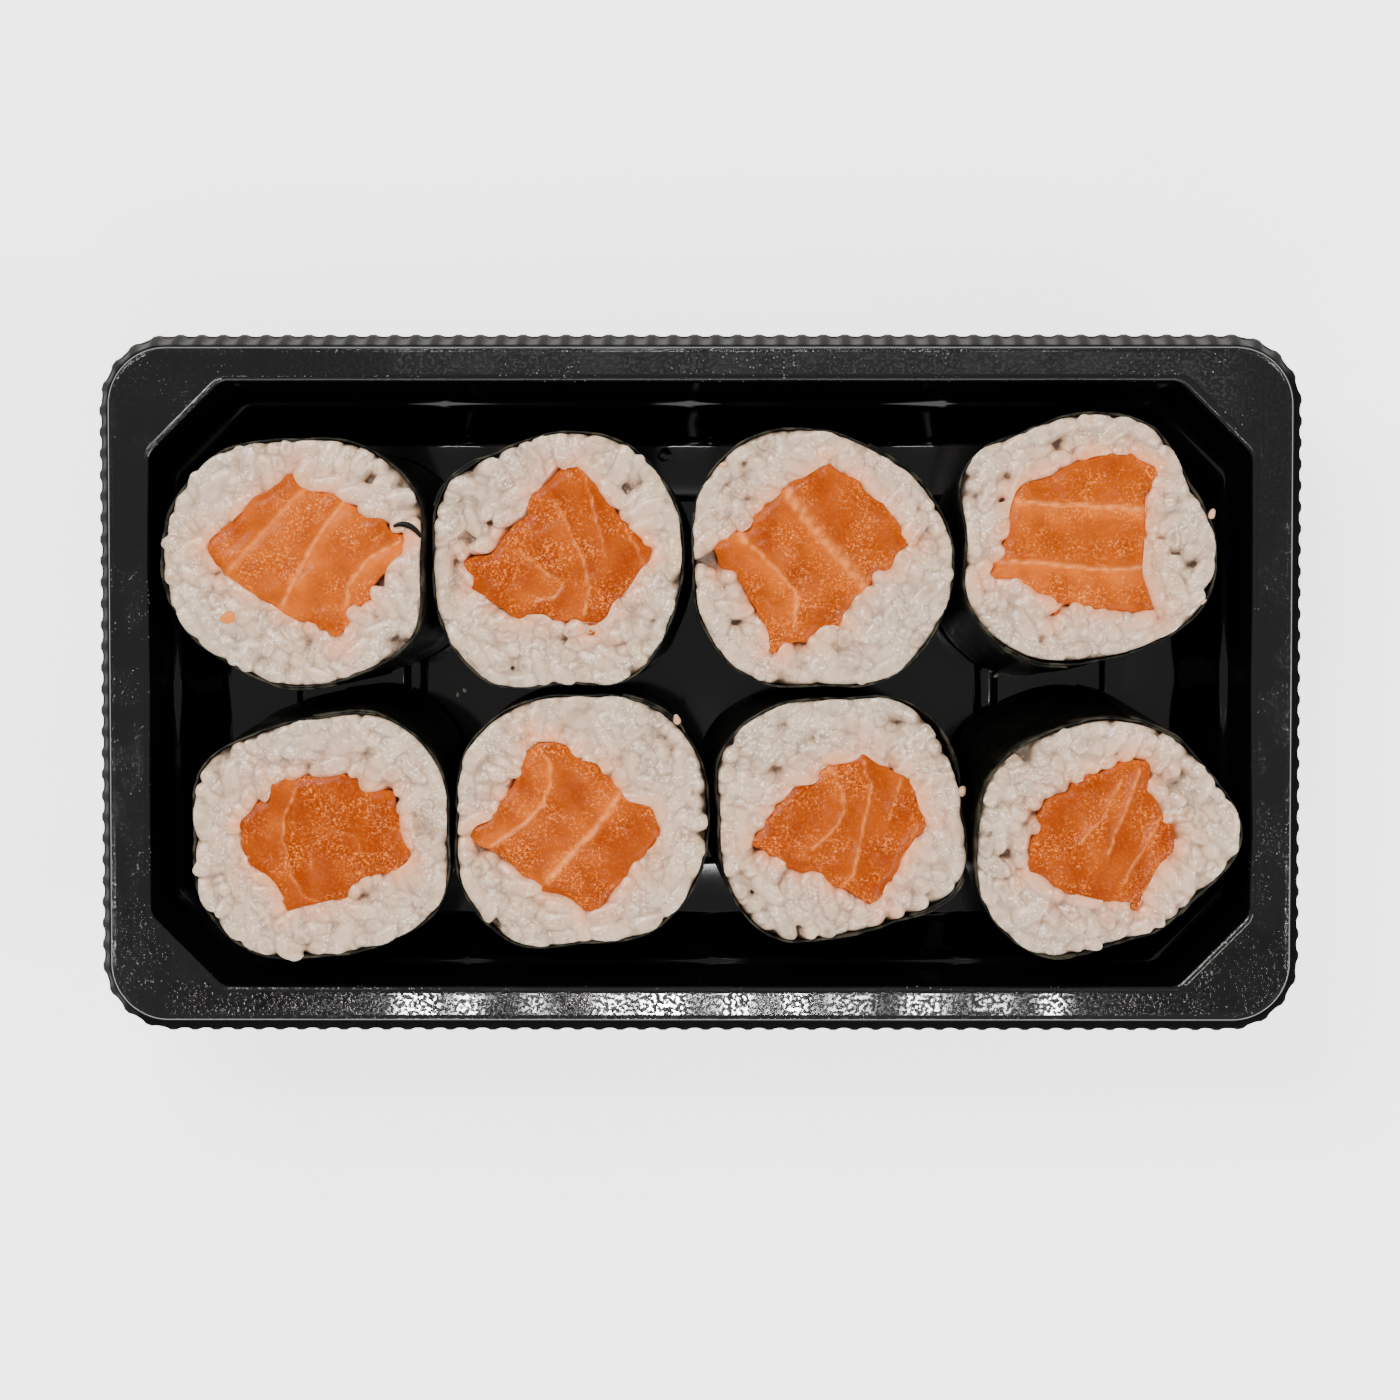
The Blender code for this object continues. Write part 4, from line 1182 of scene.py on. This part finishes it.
def build_salmon(roll, fish):
    """The fish's bar: flakes that swell between sunken pale seams, with its corners softened."""
    wobble = 0.12 * waves(roll.salmon, 3.0, roll.seed + 200)[:, None] * roll.salmon / 10.0
    outline = roll.salmon + wobble
    top = outline_solid("flesh", outline, SALMON_TOP_FOOT, -SALMON_DROP)
    apply_modifier(top, "REMESH", mode="VOXEL", voxel_size=SALMON_VOXEL)
    apply_modifier(top, "SMOOTH", factor=0.5, iterations=2)
    local = read_points(top)
    flat = local[:, :2]
    upper = ease(local[:, 2], -2.0, -0.8)
    inward = np.clip(outline_depth(flat, outline), 0, None)
    lift = -0.45 * np.exp(-(inward / 0.8) ** 2) + 0.1 * waves(flat, 6.0, roll.seed + 220)
    lift += 0.02 * waves(flat, 1.6, roll.seed + 240)
    seam = np.zeros(len(local))
    pale = np.zeros(len(local))
    for width, strength, path in roll.seams:
        gap, side = path_distance(flat + 0.08 * waves(flat, 2.0, roll.seed + 260)[:, None], path)
        seam = np.maximum(seam, strength * np.exp(-(gap / (0.5 * width)) ** 2))
        band = np.where(side < 0, np.exp(-(gap / 2.4) ** 2), 0.5 * np.exp(-gap / 0.7))
        pale = np.maximum(pale, strength * band)
        lift += strength * (-0.16 * np.exp(-(gap / 0.45) ** 2) + 0.14 * side * np.exp(-gap / 0.9))
    local[:, 2] += lift * upper
    write_points(top, local)
    uneven = 0.7 + 0.2 * waves(flat, 1.3, roll.seed + 280)
    write_attribute(top, "seam", np.clip(seam * uneven, 0, 0.9) * upper)
    base = FISH_PALENESS[roll.name]
    pale = base + (0.36 + base) * pale + 0.2 * np.exp(-(inward / 0.6) ** 2)
    pale += 0.08 * waves(flat, 5.0, roll.seed + 300)
    write_attribute(top, "pale", np.clip(pale, 0, 1) * upper)
    core = outline_solid("bar", roll.salmon_corners * 0.98, -ROLL_HEIGHT + 0.05, SALMON_CORE_TOP)
    fill_attributes(core, seam=0.0, pale=0.0)
    piece = join([top, core], f"salmon_flesh_{roll.name}")
    roll.place(piece)
    piece.data.shade_smooth()
    piece.data.materials.clear()
    piece.data.materials.append(fish)
    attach(piece, "root")
    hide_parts(f"salmon_{roll.name}")


# Small things


def finish_piece(piece, material):
    piece.data.shade_smooth()
    piece.data.materials.clear()
    piece.data.materials.append(material)
    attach(piece, "root")


def pebble(name, middle, sizes, turn_deg=0.0):
    """A rounded lump of three half sizes at a place in millimetres."""
    bpy.ops.mesh.primitive_ico_sphere_add(subdivisions=3, radius=1.0)
    lump = new_piece(name)
    unit = read_points(lump)
    uneven = 1 + 0.07 * waves(unit, 1.6, len(name))[:, None]
    body = unit * uneven * sizes @ rotation(2, math.radians(turn_deg)).T
    write_points(lump, body + middle)
    return lump


def build_stray_bits(roll, rice):
    """Short ends of grains that stick to the seaweed's edge outside the roll."""
    bits = []
    for number, (u, v, length) in enumerate(STRAY_BITS[roll.name]):
        sizes = np.array((0.5, 0.34, 0.32)) * length
        turn = math.degrees(math.atan2(v, u)) + 60
        bits.append(pebble(f"stray_{roll.name}_{number}", (u, v, -0.75), sizes, turn))
    piece = join(bits, f"stray_rice_{roll.name}")
    fill_attributes(piece, tone=0.5, halo=0.0, blush=0.35, crease=0.0, hollow=0.0)
    roll.place(piece)
    finish_piece(piece, rice)


def build_strand(roll, seaweed, route):
    """A loose shred of seaweed that lies in an arc over the salmon's tip."""
    bpy.ops.curve.primitive_nurbs_path_add()
    strand = bpy.context.object
    strand.name = "seaweed_strand"
    spline = strand.data.splines[0]
    for point, (u, v) in zip(spline.points, route):
        point.co = (u, v, -0.05, 1.0)
    for point, radius in zip(spline.points, (0.5, 1.0, 1.2, 1.0, 0.6)):
        point.radius = radius
    strand.data.bevel_depth = 0.36
    strand.data.bevel_resolution = 3
    strand.data.use_fill_caps = True
    select_only(strand)
    bpy.ops.object.convert(target="MESH")
    strand = new_piece("seaweed_strand")
    fill_attributes(strand, lit_edge=0.0)
    roll.place(strand)
    finish_piece(strand, seaweed)


def build_scrap(roll, fish, middle, size):
    """A scrap of salmon pressed in between the grains."""
    scrap = pebble("salmon_scrap", (*middle, -0.82), np.array((0.8, 0.55, 0.42)) * size, 25.0)
    fill_attributes(scrap, seam=0.55, pale=1.0)
    roll.place(scrap)
    finish_piece(scrap, fish)


def build_tray_marks(rice, black, water):
    """What lies on the tray itself: a water drop, flecks of starch and two nicks in the rim."""
    (x, y), radius = WATER_DROP
    drop = pebble("water_drop", (x, y, SHEET), (radius, radius, 0.6 * radius))
    drop_points = read_points(drop)
    drop_points[:, 2] = np.maximum(drop_points[:, 2], SHEET + 0.01)
    write_points(drop, drop_points * MM)
    finish_piece(drop, water)
    flecks = []
    for number, (x, y) in enumerate(STARCH_FLECKS):
        on_plateau = abs(y) < PLATEAU_HALF_WIDTH
        z = SHEET + (PLATEAU_RISE if on_plateau else 0.0)
        flecks.append(pebble(f"fleck_{number}", (x, y, z + 0.03), (0.34, 0.22, 0.12), 40.0 * number))
    piece = join(flecks, "starch_flecks")
    write_points(piece, read_points(piece) * MM)
    fill_attributes(piece, tone=0.8, halo=0.0, blush=0.0, crease=0.0, hollow=0.0)
    finish_piece(piece, rice)
    nicks = [
        pebble(f"nick_{number}", (x, y, RIM_Z), (0.85, 0.13, 0.1), turn)
        for number, (x, y, turn) in enumerate(RIM_NICKS)
    ]
    piece = join(nicks, "rim_nicks")
    write_points(piece, read_points(piece) * MM)
    finish_piece(piece, black)


# Stage


def build_floor():
    bpy.ops.mesh.primitive_plane_add(size=4.0, location=(0.0, 0.0, -0.0002))
    floor = new_piece("floor")
    floor.data.materials.append(floor_material())


def aim(thing, target):
    """Points a light or a camera at a target, with the picture's upright along +Y."""
    back = (thing.location - Vector(target)).normalized()
    right = Vector((0.0, 1.0, 0.0)).cross(back).normalized()
    thing.rotation_euler = Matrix((right, back.cross(right), back)).transposed().to_euler()


def add_light(name, place, target, size, energy, colour="#ffffff"):
    light = bpy.data.lights.new(name, "AREA")
    light.shape = "RECTANGLE"
    light.size, light.size_y = size
    light.energy = energy
    light.color = shade(colour)[:3]
    thing = bpy.data.objects.new(name, light)
    bpy.context.scene.collection.objects.link(thing)
    thing.location = place
    aim(thing, target)


def build_stage():
    build_floor()
    for row in range(2):
        for bank, ((x, y, z), columns, power) in PANEL_BANKS.items():
            for column in range(columns):
                place = (x + PANEL_PITCH[0] * column, y + PANEL_PITCH[1] * row, z)
                add_light(f"{bank}_{row}_{column}", place, OBJECT_MIDDLE, PANEL_SIZE, power, PANEL_COLOUR)
    draw = np.random.default_rng(5)
    for lamp in range(LAMPS):
        x = (lamp - (LAMPS - 1) / 2 + draw.uniform(-0.2, 0.2)) * LAMP_PITCH + LAMPS_SHIFT
        stretch = draw.uniform(0.6, 1.3)
        add_light(f"lamp_{lamp}", (x, LAMP_Y, LAMP_Z), (x / 4, LAMP_TARGET_Y, LAMP_TARGET_Z),
                  (LAMP_SIZE[0] * stretch, LAMP_SIZE[1]), LAMP_POWER * stretch * draw.uniform(0.15, 1.25))
    add_light("back_haze", (0.05, 0.118, LAMP_Z), (0.01, 0.040, 0.022), (0.42, 0.05), 0.07)
    add_light("front_fill", (0.0, -0.75, 0.75), OBJECT_MIDDLE, (0.6, 0.5), 2.4)
    world = bpy.data.worlds.new("studio")
    world.use_nodes = True
    sky = world.node_tree.nodes["Background"]
    sky.inputs["Color"].default_value = (1.0, 0.98, 0.96, 1.0)
    sky.inputs["Strength"].default_value = WORLD_GLOW
    bpy.context.scene.world = world
    camera = bpy.data.objects.new("camera", bpy.data.cameras.new("camera"))
    bpy.context.scene.collection.objects.link(camera)
    camera.data.lens = 86.4
    camera.data.sensor_width = 36.0
    camera.data.clip_start = 0.01
    camera.location = CAMERA_PLACE
    aim(camera, CAMERA_TARGET)
    bpy.context.scene.camera = camera


build_stage()
black = tray_material()
build_tray(black, fluted_edge_material())
seaweed, rice, fish = nori_material(), rice_material(), salmon_material()
build_tray_marks(rice, black, water_material())
grain = grain_shape()
for seed, (name, sizes) in enumerate(ROLLS.items(), 1):
    roll = Roll(name, seed, sizes)
    build_nori(roll, seaweed)
    build_salmon(roll, fish)
    build_rice(roll, rice, grain)
    if name in STRAY_BITS:
        build_stray_bits(roll, rice)
    if name == SEAWEED_STRAND[0]:
        build_strand(roll, seaweed, SEAWEED_STRAND[1])
    if name == SALMON_SCRAP[0]:
        build_scrap(roll, fish, *SALMON_SCRAP[1:])
